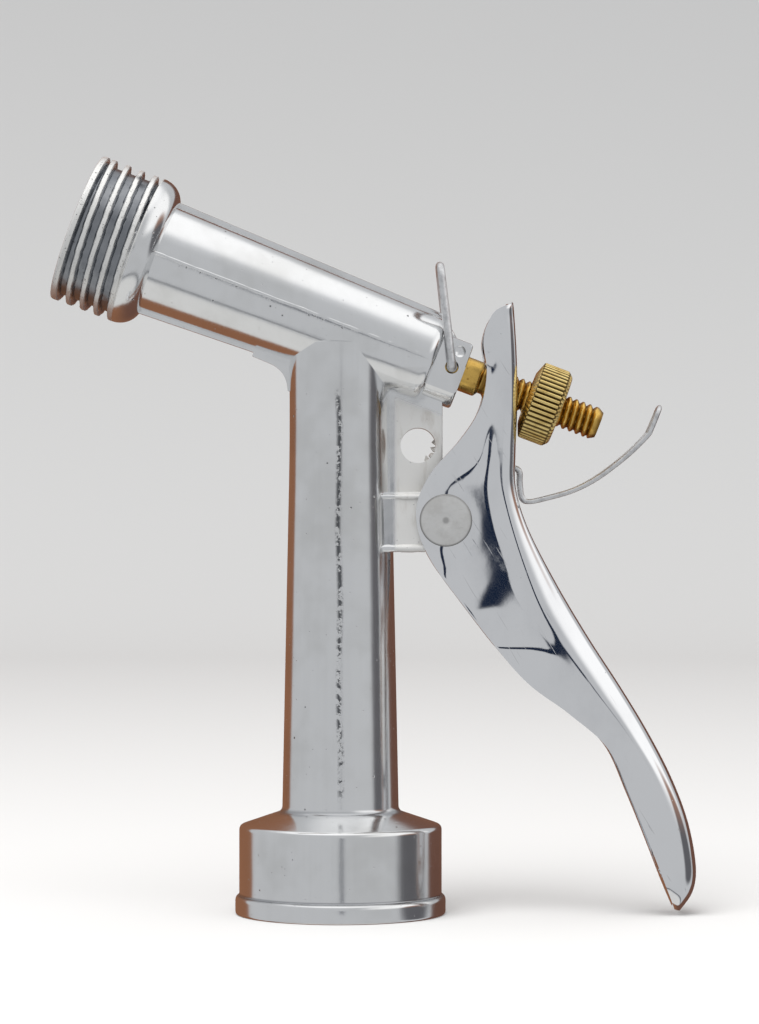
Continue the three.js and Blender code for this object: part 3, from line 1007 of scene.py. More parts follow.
@dataclass(frozen=True)
class KnurledBrass(Finish):
    """Paler brass whose ridges are rubbed bright, with painted shade in the knurl's valleys."""

    name: str = "knurled_brass"
    bright: Colour = (0.92, 0.71, 0.29)
    aged: Colour = (0.6, 0.4, 0.12)
    # painted shade for the knurl's valleys
    valley: Colour = (0.07, 0.038, 0.01)
    crest_radius: float = 7.0
    ridge: float = 0.34

    def dress(self, graph: Graph, place: Value) -> None:
        """Adds the knurled brass's nodes.

        Args:
            graph: the material's nodes.
            place: the place on the surface, in millimetres.
        """
        offset = graph.vector("SUBTRACT", place, tuple(BARREL.translation))
        above = graph.along(offset, BARREL.to_3x3().col[2])
        across = graph.along(offset, (0, 1, 0))
        radius = (above * above + across * across).root()
        # painted shade mask: the knurl's valleys, between the ridges
        low = radius.band(self.crest_radius - self.ridge - 0.04, self.crest_radius - 0.16, 0.09)
        cloud = graph.noise(place, 0.4, 4, 0.6)
        fine = graph.noise(place, 5, 2, 0.5)
        worn = graph.mix(cloud.step(0.38, 0.75), self.bright, self.aged)
        colour = graph.mix(low * 0.85, worn, self.valley)
        rough = 0.24 + 0.12 * cloud + 0.14 * low
        self.surface(graph, colour, rough, 0.008 * fine + 0.01 * cloud)


@dataclass(frozen=True)
class GalvanisedWire(Finish):
    """Dull zinc on drawn wire, with drawing lines and small grey patches."""

    name: str = "galvanised_wire"
    bright: Colour = (0.78, 0.785, 0.79)
    patch: Colour = (0.45, 0.45, 0.46)

    def dress(self, graph: Graph, place: Value) -> None:
        """Adds the wire's nodes.

        Args:
            graph: the material's nodes.
            place: the place on the surface, in millimetres.
        """
        cloud = graph.noise(place, 0.55, 4, 0.65)
        fine = graph.noise(place, 4, 3, 0.6)
        specks = graph.dots(place, 1.4, 0.25, 0.15)
        dark = (cloud.step(0.45, 0.75) * 0.7).larger(specks * 0.7)
        colour = graph.mix(dark, self.bright, self.patch)
        rough = 0.3 + 0.15 * cloud + 0.1 * fine
        self.surface(graph, colour, rough, 0.012 * fine + 0.03 * cloud - 0.02 * specks)


@dataclass(frozen=True)
class PlatedRivet(Finish):
    """A dull plated rivet head with faint scratches, and painted shade at its rounded rim and in
    the dimple at its middle.
    """

    name: str = "zinc_plated_rivet"
    plated: Colour = (0.74, 0.735, 0.72)
    dull: Colour = (0.5, 0.49, 0.47)
    # painted shade for the head's rounded rim and its middle dimple
    edge: Colour = (0.16, 0.155, 0.15)
    radius: float = 4.6

    def dress(self, graph: Graph, place: Value) -> None:
        """Adds the rivet's nodes.

        Args:
            graph: the material's nodes.
            place: the place on the surface, in millimetres.
        """
        offset = graph.vector("SUBTRACT", place, tuple(PIVOT))
        flat = graph.stretched(offset, (1, 0, 1))
        radius = graph.vector("LENGTH", flat, output="Value")
        mottle = graph.noise(place, 0.35, 4, 0.55)
        grain = graph.noise(place, 4.5, 3, 0.6)
        hairs = graph.noise(graph.stretched(place, (0.5, 1, 5)), 1, 1).step(0.66, 0.74)
        # painted shade masks: the head's rounded rim and the dimple at its middle
        rim = radius.step(self.radius - 0.45, self.radius - 0.05)
        centre = radius.step(0.8, 0.3)
        rubbed = graph.mix(mottle.step(0.36, 0.7) * 0.6, self.plated, self.dull)
        worn = graph.mix(hairs * 0.3, rubbed, self.dull)
        # lays the painted shade on the rim and in the dimple
        colour = graph.mix((rim * 0.75).larger(centre * 0.5), worn, self.edge)
        rough = 0.34 + 0.16 * mottle - 0.08 * hairs
        height = 0.012 * grain + 0.03 * mottle - 0.01 * hairs
        self.surface(graph, colour, rough, height, 1 - 0.45 * mottle)


@dataclass(frozen=True)
class SpringSteel(Finish):
    """Drawn spring wire with a blue-grey cast."""

    name: str = "spring_steel"
    bright: Colour = (0.58, 0.59, 0.61)
    patch: Colour = (0.3, 0.3, 0.32)

    def dress(self, graph: Graph, place: Value) -> None:
        """Adds the spring's nodes.

        Args:
            graph: the material's nodes.
            place: the place on the surface, in millimetres.
        """
        cloud = graph.noise(place, 0.5, 3, 0.6)
        fine = graph.noise(place, 5, 2, 0.6)
        colour = graph.mix(cloud.step(0.4, 0.75), self.bright, self.patch)
        self.surface(graph, colour, 0.25 + 0.15 * cloud, 0.01 * fine)


@dataclass(frozen=True)
class RubberSeal(Finish):
    """Black rubber with dust and a moulded grain."""

    name: str = "rubber_seal"
    black: Colour = (0.018, 0.018, 0.019)
    dust: Colour = (0.07, 0.068, 0.064)

    def dress(self, graph: Graph, place: Value) -> None:
        """Adds the rubber's nodes.

        Args:
            graph: the material's nodes.
            place: the place on the surface, in millimetres.
        """
        cloud = graph.noise(place, 0.4, 4, 0.65)
        grain = graph.noise(place, 6, 3, 0.6)
        colour = graph.mix(cloud.step(0.45, 0.8), self.black, self.dust)
        rough = 0.6 + 0.25 * cloud
        self.surface(graph, colour, rough, 0.02 * grain + 0.03 * cloud, metallic=0)


# ---- The casting -------------------------------------------------------------------------------


@dataclass
class Casting:
    """The body: outlet, barrel, grip, inlet collar, rear boss and pivot lug in one casting."""

    nose_front: float = -49.8
    nose_radius: float = 13.4
    nose_root: float = 12.1
    nose_pitch: float = 2.58
    nose_crest: float = 0.32
    nose_flank: float = 0.46
    thread_start: float = -48.75
    thread_end: float = -38.3
    first_crest: float = -46.3
    nose_bore: float = 9.4
    nose_bore_depth: float = 6.4
    barrel_front: float = -34.2
    barrel_rear: float = 17.8
    barrel_front_radius: float = 9.6
    barrel_rear_radius: float = 7.8
    barrel_fillet: float = 1.8
    barrel_breadth: float = 1.08
    barrel_bore: float = 6.1
    flash_height: float = 0.85
    flash_thickness: float = 0.9
    seam_radius: float = 0.48
    seam_lift: float = 0.15
    collar_radius: float = 17.9
    collar_height: float = 15.6
    rim_radius: float = 18.6
    rim_height: float = 3.2
    foot_radius: float = 10.3
    head_radius: float = 9.0
    socket_root: float = 13.6
    socket_crest: float = 12.7
    socket_depth: float = 12.6
    socket_pitch: float = 2.2
    grip_bore: float = 6.2
    boss_rear: float = 23.2
    boss_radius: float = 6.2
    boss_drop: float = 0.45
    boss_half_width: float = 5.0
    boss_top: float = 5.2
    boss_draft: float = 0.009
    lug_half: float = 2.5
    lug_rear: float = 18.0
    lug_bottom: float = 63.4
    arm_half: float = 5.2
    arm_radius: float = 5.0
    arm_beads: tuple[Point, ...] = ((4.15, 0.55), (-4.9, 0.8))
    tie_hole: tuple[float, float, float] = (13.7, 82.7, 3.1)
    torn_teeth: tuple[Point, ...] = ((-1.0, 0.9), (-0.62, 1.5), (-0.22, 1.1), (0.2, 0.8))
    boss_spur: tuple[tuple[float, float, float], ...] = (
        (18.2, -1.6, 5.6), (19.6, -1.7, 4.9), (21.4, -1.8, 4.2),
    )
    packing_start: float = 10.2
    packing_end: float = 15.4
    packing_bore: float = 5.0
    stem_bore: float = 3.5
    rivet_bore: float = 2.8
    bail_bore: float = 1.2
    dimple: tuple[float, float, float] = (21.3, 0.75, 3.3)
    dimple_radius: float = 1.6
    bail_along: float = 20.9
    bail_up: float = 0.2
    inside: float = 4.0
    finish: Finish = field(default_factory=ChromedCasting)

    @property
    def crossing(self) -> float:
        """Height at which the barrel's axis crosses the grip's."""
        return BARREL.translation.z

    def nose(self) -> bmesh.types.BMesh:
        """The outlet's outside thread and the domed shoulder behind it.

        Returns:
            The closed mesh.
        """
        front = self.nose_front
        spans = 76
        length = self.thread_end - self.thread_start
        edge = self.nose_radius
        outline = rounded([(0, front), (edge, front, 0.5), (edge, front + 0.8)])
        outline += [
            (edge, self.thread_start + length * step / spans) for step in range(spans + 1)
        ]
        steps = 14
        drop = self.nose_radius - self.barrel_front_radius
        depth = self.barrel_front - self.thread_end
        for step in range(1, steps + 1):
            angle = step / steps * math.pi / 2
            radius = self.barrel_front_radius + drop * math.cos(angle)
            outline.append((radius, self.thread_end + depth * math.sin(angle)))
        outline.append((0, self.barrel_front))
        mesh = turned(outline)
        self.cut_nose_thread(mesh)
        return placed(mesh, ALONG_BARREL)

    def cut_nose_thread(self, mesh: bmesh.types.BMesh) -> None:
        """Cuts the outlet's right-hand thread to its depth, with worn, uneven crests.

        Args:
            mesh: the spun nose about Z.
        """
        depth = self.nose_radius - self.nose_root
        for vert in mesh.verts:
            along = vert.co.z
            radius = vert.co.xy.length
            if not self.thread_start < along < self.thread_end or radius < self.nose_root:
                continue
            turn = math.atan2(vert.co.y, vert.co.x) / FULL_TURN
            phase = (along - self.first_crest) / self.nose_pitch - turn
            uneven = 0.09 * noise.noise(vert.co * 0.9)
            gap = abs(phase - round(phase)) * self.nose_pitch + uneven
            share = min(1.0, max(0.0, (gap - self.nose_crest) / self.nose_flank))
            share = share * share * (3 - 2 * share)
            ends = min(along - self.thread_start, self.thread_end - along) / 0.45
            worn = 0.07 * max(0.0, noise.noise(vert.co * 0.8 + Vector((9, 0, 0))))
            vert.co.xy *= (radius - depth * share * min(1.0, ends) - worn) / radius

    def barrel(self) -> bmesh.types.BMesh:
        """The tapered barrel, a little broader than it is tall.

        Returns:
            The closed mesh.
        """
        front = self.barrel_front - self.inside
        outline = rounded(
            [
                (0, front),
                (self.barrel_front_radius - 0.02, front),
                (self.barrel_front_radius, self.barrel_front),
                (self.barrel_rear_radius, self.barrel_rear, self.barrel_fillet),
                (0, self.barrel_rear),
            ],
            8,
        )
        broad = Matrix.Diagonal((1, self.barrel_breadth, 1, 1))
        return placed(turned(outline), ALONG_BARREL @ broad)

    def grip(self) -> bmesh.types.BMesh:
        """The grip and the inlet collar.

        Returns:
            The closed mesh.
        """
        shoulder = 2.3
        top = self.crossing - 3
        outline = rounded(
            [
                (0, 0),
                (self.rim_radius, 0, 0.55),
                (self.rim_radius, self.rim_height, 0.8),
                (self.collar_radius, self.rim_height + 0.25, 0.2),
                (self.collar_radius, self.collar_height, 0.75),
                (self.foot_radius, self.collar_height + shoulder + 0.3, 0.9),
                (self.head_radius, self.crossing - 22, 6),
                (self.head_radius, top),
                (0, top),
            ],
            6,
        )
        return turned(outline)

    def flash(self) -> bmesh.types.BMesh:
        """The thin flash round the barrel's outline, on the mould's parting plane.

        Returns:
            The closed mesh.
        """
        front = self.barrel_front - 0.6
        high = self.barrel_front_radius + self.flash_height
        low = self.barrel_rear_radius + self.flash_height
        rear = self.barrel_rear
        outline = rounded(
            [
                (front, -high),
                (rear + 0.8, -low, 2),
                (rear + 0.5, low - 3, 0.6),
                (rear - 1.6, low, 0.8),
                (front, high),
            ]
        )
        return placed(plate(outline, self.flash_thickness, 0.22), BARREL)

    def gusset(self) -> bmesh.types.BMesh:
        """The small flat web in the corner under the barrel.

        Returns:
            The closed mesh.
        """
        edge = -self.head_radius
        level = self.crossing
        outline = rounded(
            [
                (edge + self.inside, level - 11.4),
                (edge - 0.35, level - 11.4, 0.3),
                (edge - 0.5, level - 7.7, 3.4),
                (-15.6, level - 5.2),
                (-14, level + 1),
                (edge + self.inside, level - 4),
            ],
            6,
        )
        return plate(outline, self.flash_thickness, 0.2)

    def boss(self) -> bmesh.types.BMesh:
        """The boss behind the barrel: round below, flat on both sides and on top.

        Returns:
            The closed mesh.
        """
        start = self.barrel_rear - self.inside
        rear = self.boss_rear
        lowered = Matrix.Translation((0, 0, -self.boss_drop))
        outline = rounded(
            [(0, start), (self.boss_radius, start), (self.boss_radius, rear, 0.6), (0, rear)]
        )
        round_part = placed(turned(outline), lowered @ Matrix.Rotation(math.pi / 2, 4, "Y"))
        width = 2 * self.boss_half_width
        bottom = -self.boss_radius - self.boss_drop - 1
        block = plate([(1, bottom), (rear + 1, bottom), (rear + 1, 1), (1, 1)], width)
        top = rounded(
            [(start, -1.5), (rear, -1.5), (rear, self.boss_top, 0.8), (start, self.boss_top)]
        )
        whole = joined(
            joined(round_part, Join.COMMON, block), Join.UNION, plate(top, width, 0.35)
        )
        for vert in whole.verts:
            vert.co.y *= 1 - self.boss_draft * (vert.co.z - bottom)
        return placed(whole, BARREL)

    def lug(self) -> bmesh.types.BMesh:
        """The plate between the grip and the boss.

        Returns:
            The closed mesh.
        """
        root = self.head_radius - self.inside
        outline = [
            (root, self.lug_bottom + 1.6),
            (self.lug_rear, self.lug_bottom + 1.6),
            (self.lug_rear, self.crossing - 11),
            (root, self.crossing - 5),
        ]
        return plate(outline, 2 * self.lug_half, 0.25)

    def arm(self) -> bmesh.types.BMesh:
        """The arm across the lug's foot, which carries the lever's rivet.

        Returns:
            The closed mesh.
        """
        root = self.head_radius - self.inside
        half = self.arm_radius
        bow = [
            (PIVOT.x + half * math.cos(angle), PIVOT.z + half * math.sin(angle))
            for angle in (math.pi * (step / 20 - 0.5) for step in range(21))
        ]
        outline = [(root, PIVOT.z - half), *bow, (root, PIVOT.z + half)]
        return plate(outline, 2 * self.arm_half, 0.35)

    def ridges(self) -> list[bmesh.types.BMesh]:
        """Cast beads along the arm's two edges and the seam along the barrel's sides.

        Returns:
            The closed meshes.
        """
        ridges = []
        for side in (-1, 1):
            for height, radius in self.arm_beads:
                ridges.append(self.arm_bead(side, height, radius))
            ridges.append(self.barrel_seam(side))
        return ridges

    def arm_bead(self, side: int, height: float, radius: float) -> bmesh.types.BMesh:
        """One uneven bead along the arm's edge.

        Args:
            side: -1 for the near side, 1 for the far side.
            height: its height about the pivot.
            radius: its radius.

        Returns:
            The closed mesh.
        """
        across = side * (self.arm_half - 0.1)
        level = PIVOT.z + height
        ends = [
            Vector((self.head_radius - 3, across, level)),
            Vector((PIVOT.x - 3.6, across, level)),
        ]
        return tube(
            smooth_path(ends, 24),
            lambda share: radius * (0.86 + 0.2 * noise.noise((share * 9, radius, 0))),
            14,
        )

    def barrel_seam(self, side: int) -> bmesh.types.BMesh:
        """The low raised line along one side of the barrel.

        Args:
            side: -1 for the near side, 1 for the far side.

        Returns:
            The closed mesh.
        """
        path = []
        steps = 40
        start = self.barrel_front - 0.4
        length = self.barrel_rear - self.barrel_front - 1.8
        taper = self.barrel_rear_radius - self.barrel_front_radius
        sunk = self.seam_radius * 0.62
        for step in range(steps + 1):
            share = step / steps
            round_radius = self.barrel_front_radius + share * taper
            lift = self.seam_lift + 0.12 * noise.noise((share * 12, side, 3))
            across = self.barrel_breadth * math.sqrt(round_radius**2 - lift**2)
            path.append(BARREL @ Vector((start + share * length, side * (across - sunk), lift)))
        return tube(
            path,
            lambda share: self.seam_radius * (0.9 + 0.16 * noise.noise((share * 30, 0, 0))),
            12,
        )

    def spurs(self) -> list[bmesh.types.BMesh]:
        """The small spur of flash on the boss and the torn teeth in the tie hole.

        Returns:
            The closed meshes.
        """
        x, z, radius = self.tie_hole
        made = []
        for angle, length in self.torn_teeth:
            rim = Vector((x + radius * math.cos(angle), 0, z + radius * math.sin(angle)))
            inward = (Vector((x, 0, z)) - rim).normalized()
            leaning = Vector((0.25 * length, -0.5, 0.1))
            tip = rim + inward * length + leaning
            reach = [rim - inward * 0.8, rim + inward * length * 0.3, tip]
            made.append(tube(reach, lambda share: 0.75 - 0.67 * share, 8))
        spur = [BARREL @ Vector(point) for point in self.boss_spur]
        made.append(tube(spur, lambda share: 1.0 - 0.75 * share, 10))
        return made

    def socket(self) -> bmesh.types.BMesh:
        """What is cut out for the hose socket and the bore up the grip.

        Returns:
            The closed mesh.
        """
        flank = 0.5
        outline: list[Rounded] = [(0, -1), (self.socket_root + 1, -1), (self.socket_root, 0.7)]
        height = 1.3
        while height + self.socket_pitch < self.socket_depth - 2.7:
            outline.append((self.socket_crest, height, 0.15))
            outline.append((self.socket_crest, height + flank, 0.15))
            outline.append((self.socket_root, height + 2 * flank, 0.15))
            outline.append((self.socket_root, height + self.socket_pitch - flank, 0.15))
            height += self.socket_pitch
        outline.append((self.socket_root, self.socket_depth, 0.3))
        outline.append((self.grip_bore, self.socket_depth))
        outline.append((self.grip_bore, self.crossing - 1))
        outline.append((0, self.crossing - 1))
        return turned(rounded(outline, 3))

    def waterway(self) -> bmesh.types.BMesh:
        """What is cut out along the barrel: the outlet, the water way, the packing and the stem.

        Returns:
            The closed mesh.
        """
        front = self.nose_front
        seat = front + self.nose_bore_depth
        outline = [
            (0, front - 1),
            (self.nose_bore + 1.2, front - 1),
            (self.nose_bore, front + 0.6),
            (self.nose_bore, seat),
            (self.barrel_bore, seat),
            (self.barrel_bore, self.packing_start),
            (self.packing_bore, self.packing_start),
            (self.packing_bore, self.packing_end),
            (self.stem_bore, self.packing_end),
            (self.stem_bore, self.boss_rear - 0.4),
            (4.2, self.boss_rear + 0.6),
            (0, self.boss_rear + 0.6),
        ]
        return placed(turned(outline, ROUND * 2), ALONG_BARREL)

    def dimples(self) -> list[bmesh.types.BMesh]:
        """The two shallow round dimples in the boss's sides.

        Returns:
            The closed meshes.
        """
        along, proud, up = self.dimple
        made = []
        for side in (-1, 1):
            ball = bmesh.new()
            bmesh.ops.create_uvsphere(
                ball, u_segments=36, v_segments=24, radius=self.dimple_radius
            )
            centre = Vector((along, side * (self.boss_half_width + proud), up))
            made.append(placed(ball, Matrix.Translation(BARREL @ centre)))
        return made

    def build(self) -> bpy.types.Object:
        """Builds and dresses the casting.

        Returns:
            The piece.
        """
        outside = joined(
            self.grip(),
            Join.UNION,
            self.nose(),
            self.barrel(),
            self.flash(),
            self.gusset(),
            self.boss(),
            self.lug(),
            self.arm(),
            *self.ridges(),
        )
        x, z, radius = self.tie_hole
        through = 4 * self.boss_half_width
        bail_hole = cross_bar(self.bail_bore, through, self.bail_along, self.bail_up)
        whole = joined(
            outside,
            Join.CUT,
            self.socket(),
            self.waterway(),
            placed(bail_hole, BARREL),
            cross_bar(radius, 4 * self.lug_half, x, z),
            cross_bar(self.rivet_bore, 4 * self.arm_half, PIVOT.x, PIVOT.z),
            *self.dimples(),
        )
        whole = joined(whole, Join.UNION, *self.spurs())
        return publish(whole, "casting", Body.NOZZLE, self.finish, "nozzle_body")


# ---- Turned pieces -----------------------------------------------------------------------------


@dataclass
class TurnedPiece:
    """A washer, seat or cone about one of the two main axes."""

    name: str
    node: str
    body: Body
    slot: str
    finish: Finish
    outline: list[Rounded]
    closed: bool = True
    matrix: Matrix = field(default_factory=lambda: ALONG_BARREL)

    def build(self) -> bpy.types.Object:
        """Builds and dresses the piece.

        Returns:
            The piece.
        """
        shape = turned(rounded(self.outline, 3), ROUND, self.closed)
        return publish(
            placed(shape, self.matrix), self.name, self.body, self.finish, self.node
        )


def washer(
    inner: float, outer: float, start: float, end: float, edge: float = 0.12
) -> list[Rounded]:
    """The closed outline of a washer.

    Args:
        inner: its bore's radius.
        outer: its outer radius.
        start: where it starts along the axis.
        end: where it ends.
        edge: how far its edges are rounded.

    Returns:
        The outline.
    """
    return [(inner, start, edge), (outer, start, edge), (outer, end, edge), (inner, end, edge)]


def inner_pieces() -> list[TurnedPiece]:
    """The seat, the seals and the other turned pieces of the valve.

    Returns:
        The pieces, still to be built.
    """
    brass = TurnedBrass()
    rubber = RubberSeal()
    seat = [
        (3.4, -45.6, 0.2),
        (7.4, -49.0, 0.3),
        (9.1, -49.0, 0.15),
        (9.1, -43.7, 0.15),
        (4.6, -43.7, 0.1),
        (3.4, -44.8, 0.1),
    ]
    cone = [
        (0, -45.5),
        (1.1, -45.2, 0.15),
        (2.9, -40.3, 0.3),
        (3.0, -39.7, 0.1),
        (5.0, -37.9, 0.2),
        (5.0, -36.3, 0.2),
        (0, -36.3),
    ]
    upright = Matrix.Identity(4)
    return [
        TurnedPiece("outlet_seat_ring", "outlet_seat", Body.NOZZLE, "turned_brass", brass, seat),
        TurnedPiece("stem_tip", "stem_cone", Body.VALVE, "turned_brass", brass, cone, False),
        TurnedPiece(
            "shut_off_washer", "valve_washer", Body.VALVE, "rubber_seal", rubber,
            washer(2.7, 5.4, -35.7, -33.7, 0.3),
        ),
        TurnedPiece(
            "washer_backing", "washer_cup", Body.VALVE, "turned_brass", brass,
            washer(2.7, 5, -33.4, -31.9),
        ),
        TurnedPiece(
            "spring_rest", "spring_seat", Body.NOZZLE, "turned_brass", brass,
            washer(3.5, 5.8, 8.7, 9.9),
        ),
        TurnedPiece(
            "packing_ring", "packing_washer", Body.NOZZLE, "turned_brass", brass,
            washer(3.5, 4.7, 10.2, 11.2),
        ),
        TurnedPiece(
            "stem_seal", "stem_packing", Body.NOZZLE, "rubber_seal", rubber,
            washer(3.5, 4.7, 11.6, 15.1, 0.4),
        ),
        TurnedPiece(
            "inlet_washer", "hose_washer", Body.NOZZLE, "rubber_seal", rubber,
            washer(8, 12.4, 9.4, 12.3, 0.5), matrix=upright,
        ),
    ]


@dataclass
class Stem:
    """The brass rod through the barrel, with a cut thread at its tail."""

    radius: float = 3.15
    journal: float = 2.4
    front: float = -36.0
    shoulder_start: float = -12.0
    shoulder_end: float = -10.4
    shoulder_radius: float = 4.6
    thread_start: float = 27.2
    tail: float = 48.9
    crest: float = 2.92
    root: float = 2.32
    pitch: float = 1.27
    finish: Finish = field(default_factory=TurnedBrass)

    def outline(self) -> list[Point]:
        """The stem's outline, with enough points along the thread to cut it.

        Returns:
            (radius, along) points.
        """
        points = rounded(
            [
                (0, self.front),
                (self.journal, self.front, 0.2),
                (self.journal, self.front + 5),
                (self.radius, self.front + 5, 0.15),
                (self.radius, self.shoulder_start),
                (self.shoulder_radius, self.shoulder_start, 0.2),
                (self.shoulder_radius, self.shoulder_end, 0.2),
                (self.radius, self.shoulder_end),
                (self.radius, self.thread_start - 1.1, 0.25),
                (self.root, self.thread_start - 0.5, 0.1),
            ]
        )
        spans = int((self.tail - self.thread_start) / self.pitch * 10)
        step = (self.tail - self.thread_start) / spans
        points += [(self.crest, self.thread_start + index * step) for index in range(spans + 1)]
        return points + [(0, self.tail)]

    def cut_thread(self, mesh: bmesh.types.BMesh) -> None:
        """Moves the tail's surface to the depth of a right-hand thread.

        Args:
            mesh: the spun stem about Z.
        """
        for vert in mesh.verts:
            along = vert.co.z
            radius = vert.co.xy.length
            if along < self.thread_start - 0.01 or radius < self.root:
                continue
            angle = math.atan2(vert.co.y, vert.co.x)
            phase = ((along - self.thread_start) / self.pitch - angle / FULL_TURN) % 1
            lift = min(1.0, 1.28 * (1 - abs(2 * phase - 1)))
            run_out = min(1.0, max(0.0, (along - self.thread_start) / 0.9))
            chamfer = max(0.0, along - (self.tail - 1.1)) * 0.55
            smooth_tip = min(1.0, max(0.0, (along - self.tail + 1.5) / 0.3))
            lift = max(lift * run_out, smooth_tip)
            wanted = self.root + (self.crest - self.root) * lift - chamfer
            vert.co.xy *= wanted / radius

    def build(self) -> bpy.types.Object:
        """Builds and dresses the stem.

        Returns:
            The piece.
        """
        mesh = turned(self.outline(), 64)
        self.cut_thread(mesh)
        placed(mesh, ALONG_BARREL)
        return publish(mesh, "stem", Body.VALVE, self.finish, "valve_stem")


@dataclass
class Nut:
    """The knurled nut: straight ridges, a chamfer to the rear and a cone face to the front."""

    start: float = 35.3
    width: float = 6.3
    radius: float = 7.0
    face_radius: float = 4.7
    chamfer: float = 0.9
    bore: float = 3.2
    ridges: int = 48
    ridge: float = 0.34
    finish: Finish = field(default_factory=KnurledBrass)

    def outline(self) -> list[Point]:
        """The nut's closed outline.

        Returns:
            (radius, along) points.
        """
        end = self.start + self.width
        crown = self.radius - self.chamfer
        return rounded(
            [
                (self.bore, self.start + 0.5),
                (self.bore + 0.5, self.start),
                (self.face_radius, self.start, 0.2),
                (self.radius, self.start + self.chamfer, 0.25),
                (self.radius, end - self.chamfer, 0.25),
                (crown, end, 0.25),
                (self.bore + 0.9, end, 0.1),
                (self.bore, end - 0.6),
            ],
            3,
        )

    def knurl(self, mesh: bmesh.types.BMesh) -> None:
        """Presses the ridges into the rim.

        Args:
            mesh: the spun nut about Z.
        """
        for vert in mesh.verts:
            radius = vert.co.xy.length
            share = min(1.0, max(0.0, (radius - self.radius + self.chamfer) / self.chamfer))
            angle = math.atan2(vert.co.y, vert.co.x)
            valley = (0.5 - 0.5 * math.cos(self.ridges * angle)) ** 2.2
            vert.co.xy *= (radius - self.ridge * valley * share) / radius

    def build(self) -> bpy.types.Object:
        """Builds and dresses the nut.

        Returns:
            The piece.
        """
        mesh = turned(self.outline(), self.ridges * 8, closed=True)
        self.knurl(mesh)
        placed(mesh, ALONG_BARREL)
        return publish(
            mesh, "nut", Body.ADJUSTER, self.finish, "adjusting_nut"
        )


@dataclass
class Spring:
    """The compression spring between the stem's shoulder and its rest."""

    start: float = -9.55
    end: float = 7.75
    wire: float = 0.55
    coil: float = 4.6
    turns: int = 7
    finish: Finish = field(default_factory=SpringSteel)

    def build(self) -> bpy.types.Object:
        """Builds and dresses the spring.

        Returns:
            The piece.
        """
        steps = self.turns * 24
        path = []
        for step in range(steps + 1):
            angle = step / steps * self.turns * FULL_TURN
            along = self.start + step / steps * (self.end - self.start)
            round_place = (along, self.coil * math.cos(angle), self.coil * math.sin(angle))
            path.append(BARREL @ Vector(round_place))
        mesh = tube(path, lambda share: self.wire, 10)
        piece = publish(
            mesh, "coil_spring", Body.NOZZLE, self.finish, "return_spring"
        )
        length = self.end - self.start + 2 * self.wire
        stroke = Joint.STEM.row["range_m"][1] / MM
        1 - stroke / length
        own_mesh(piece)
        return piece


# ---- The lever ---------------------------------------------------------------------------------


def eased(share: float) -> float:
    """A smooth rise from 0 to 1 as a share goes from 0 to 1."""
    share = min(1.0, max(0.0, share))
    return share * share * (3 - 2 * share)


@dataclass(frozen=True)
class Swell:
    """A soft oval swell or hollow in the lever's flanges.

    Attributes:
        x: its middle, about the pivot.
        z: its middle, about the pivot.
        long: its reach along its length.
        wide: its reach across.
        turn: the angle of its length from X, in degrees.
        height: how far it stands out, or sinks in where negative.
    """

    x: float
    z: float
    long: float
    wide: float
    turn: float
    height: float

    def at(self, x: float, z: float) -> float:
        """How far it moves the surface at a place."""
        angle = math.radians(self.turn)
        along = (x - self.x) * math.cos(angle) + (z - self.z) * math.sin(angle)
        across = (z - self.z) * math.cos(angle) - (x - self.x) * math.sin(angle)
        return self.height * math.exp(-((along / self.long) ** 2) - (across / self.wide) ** 2)


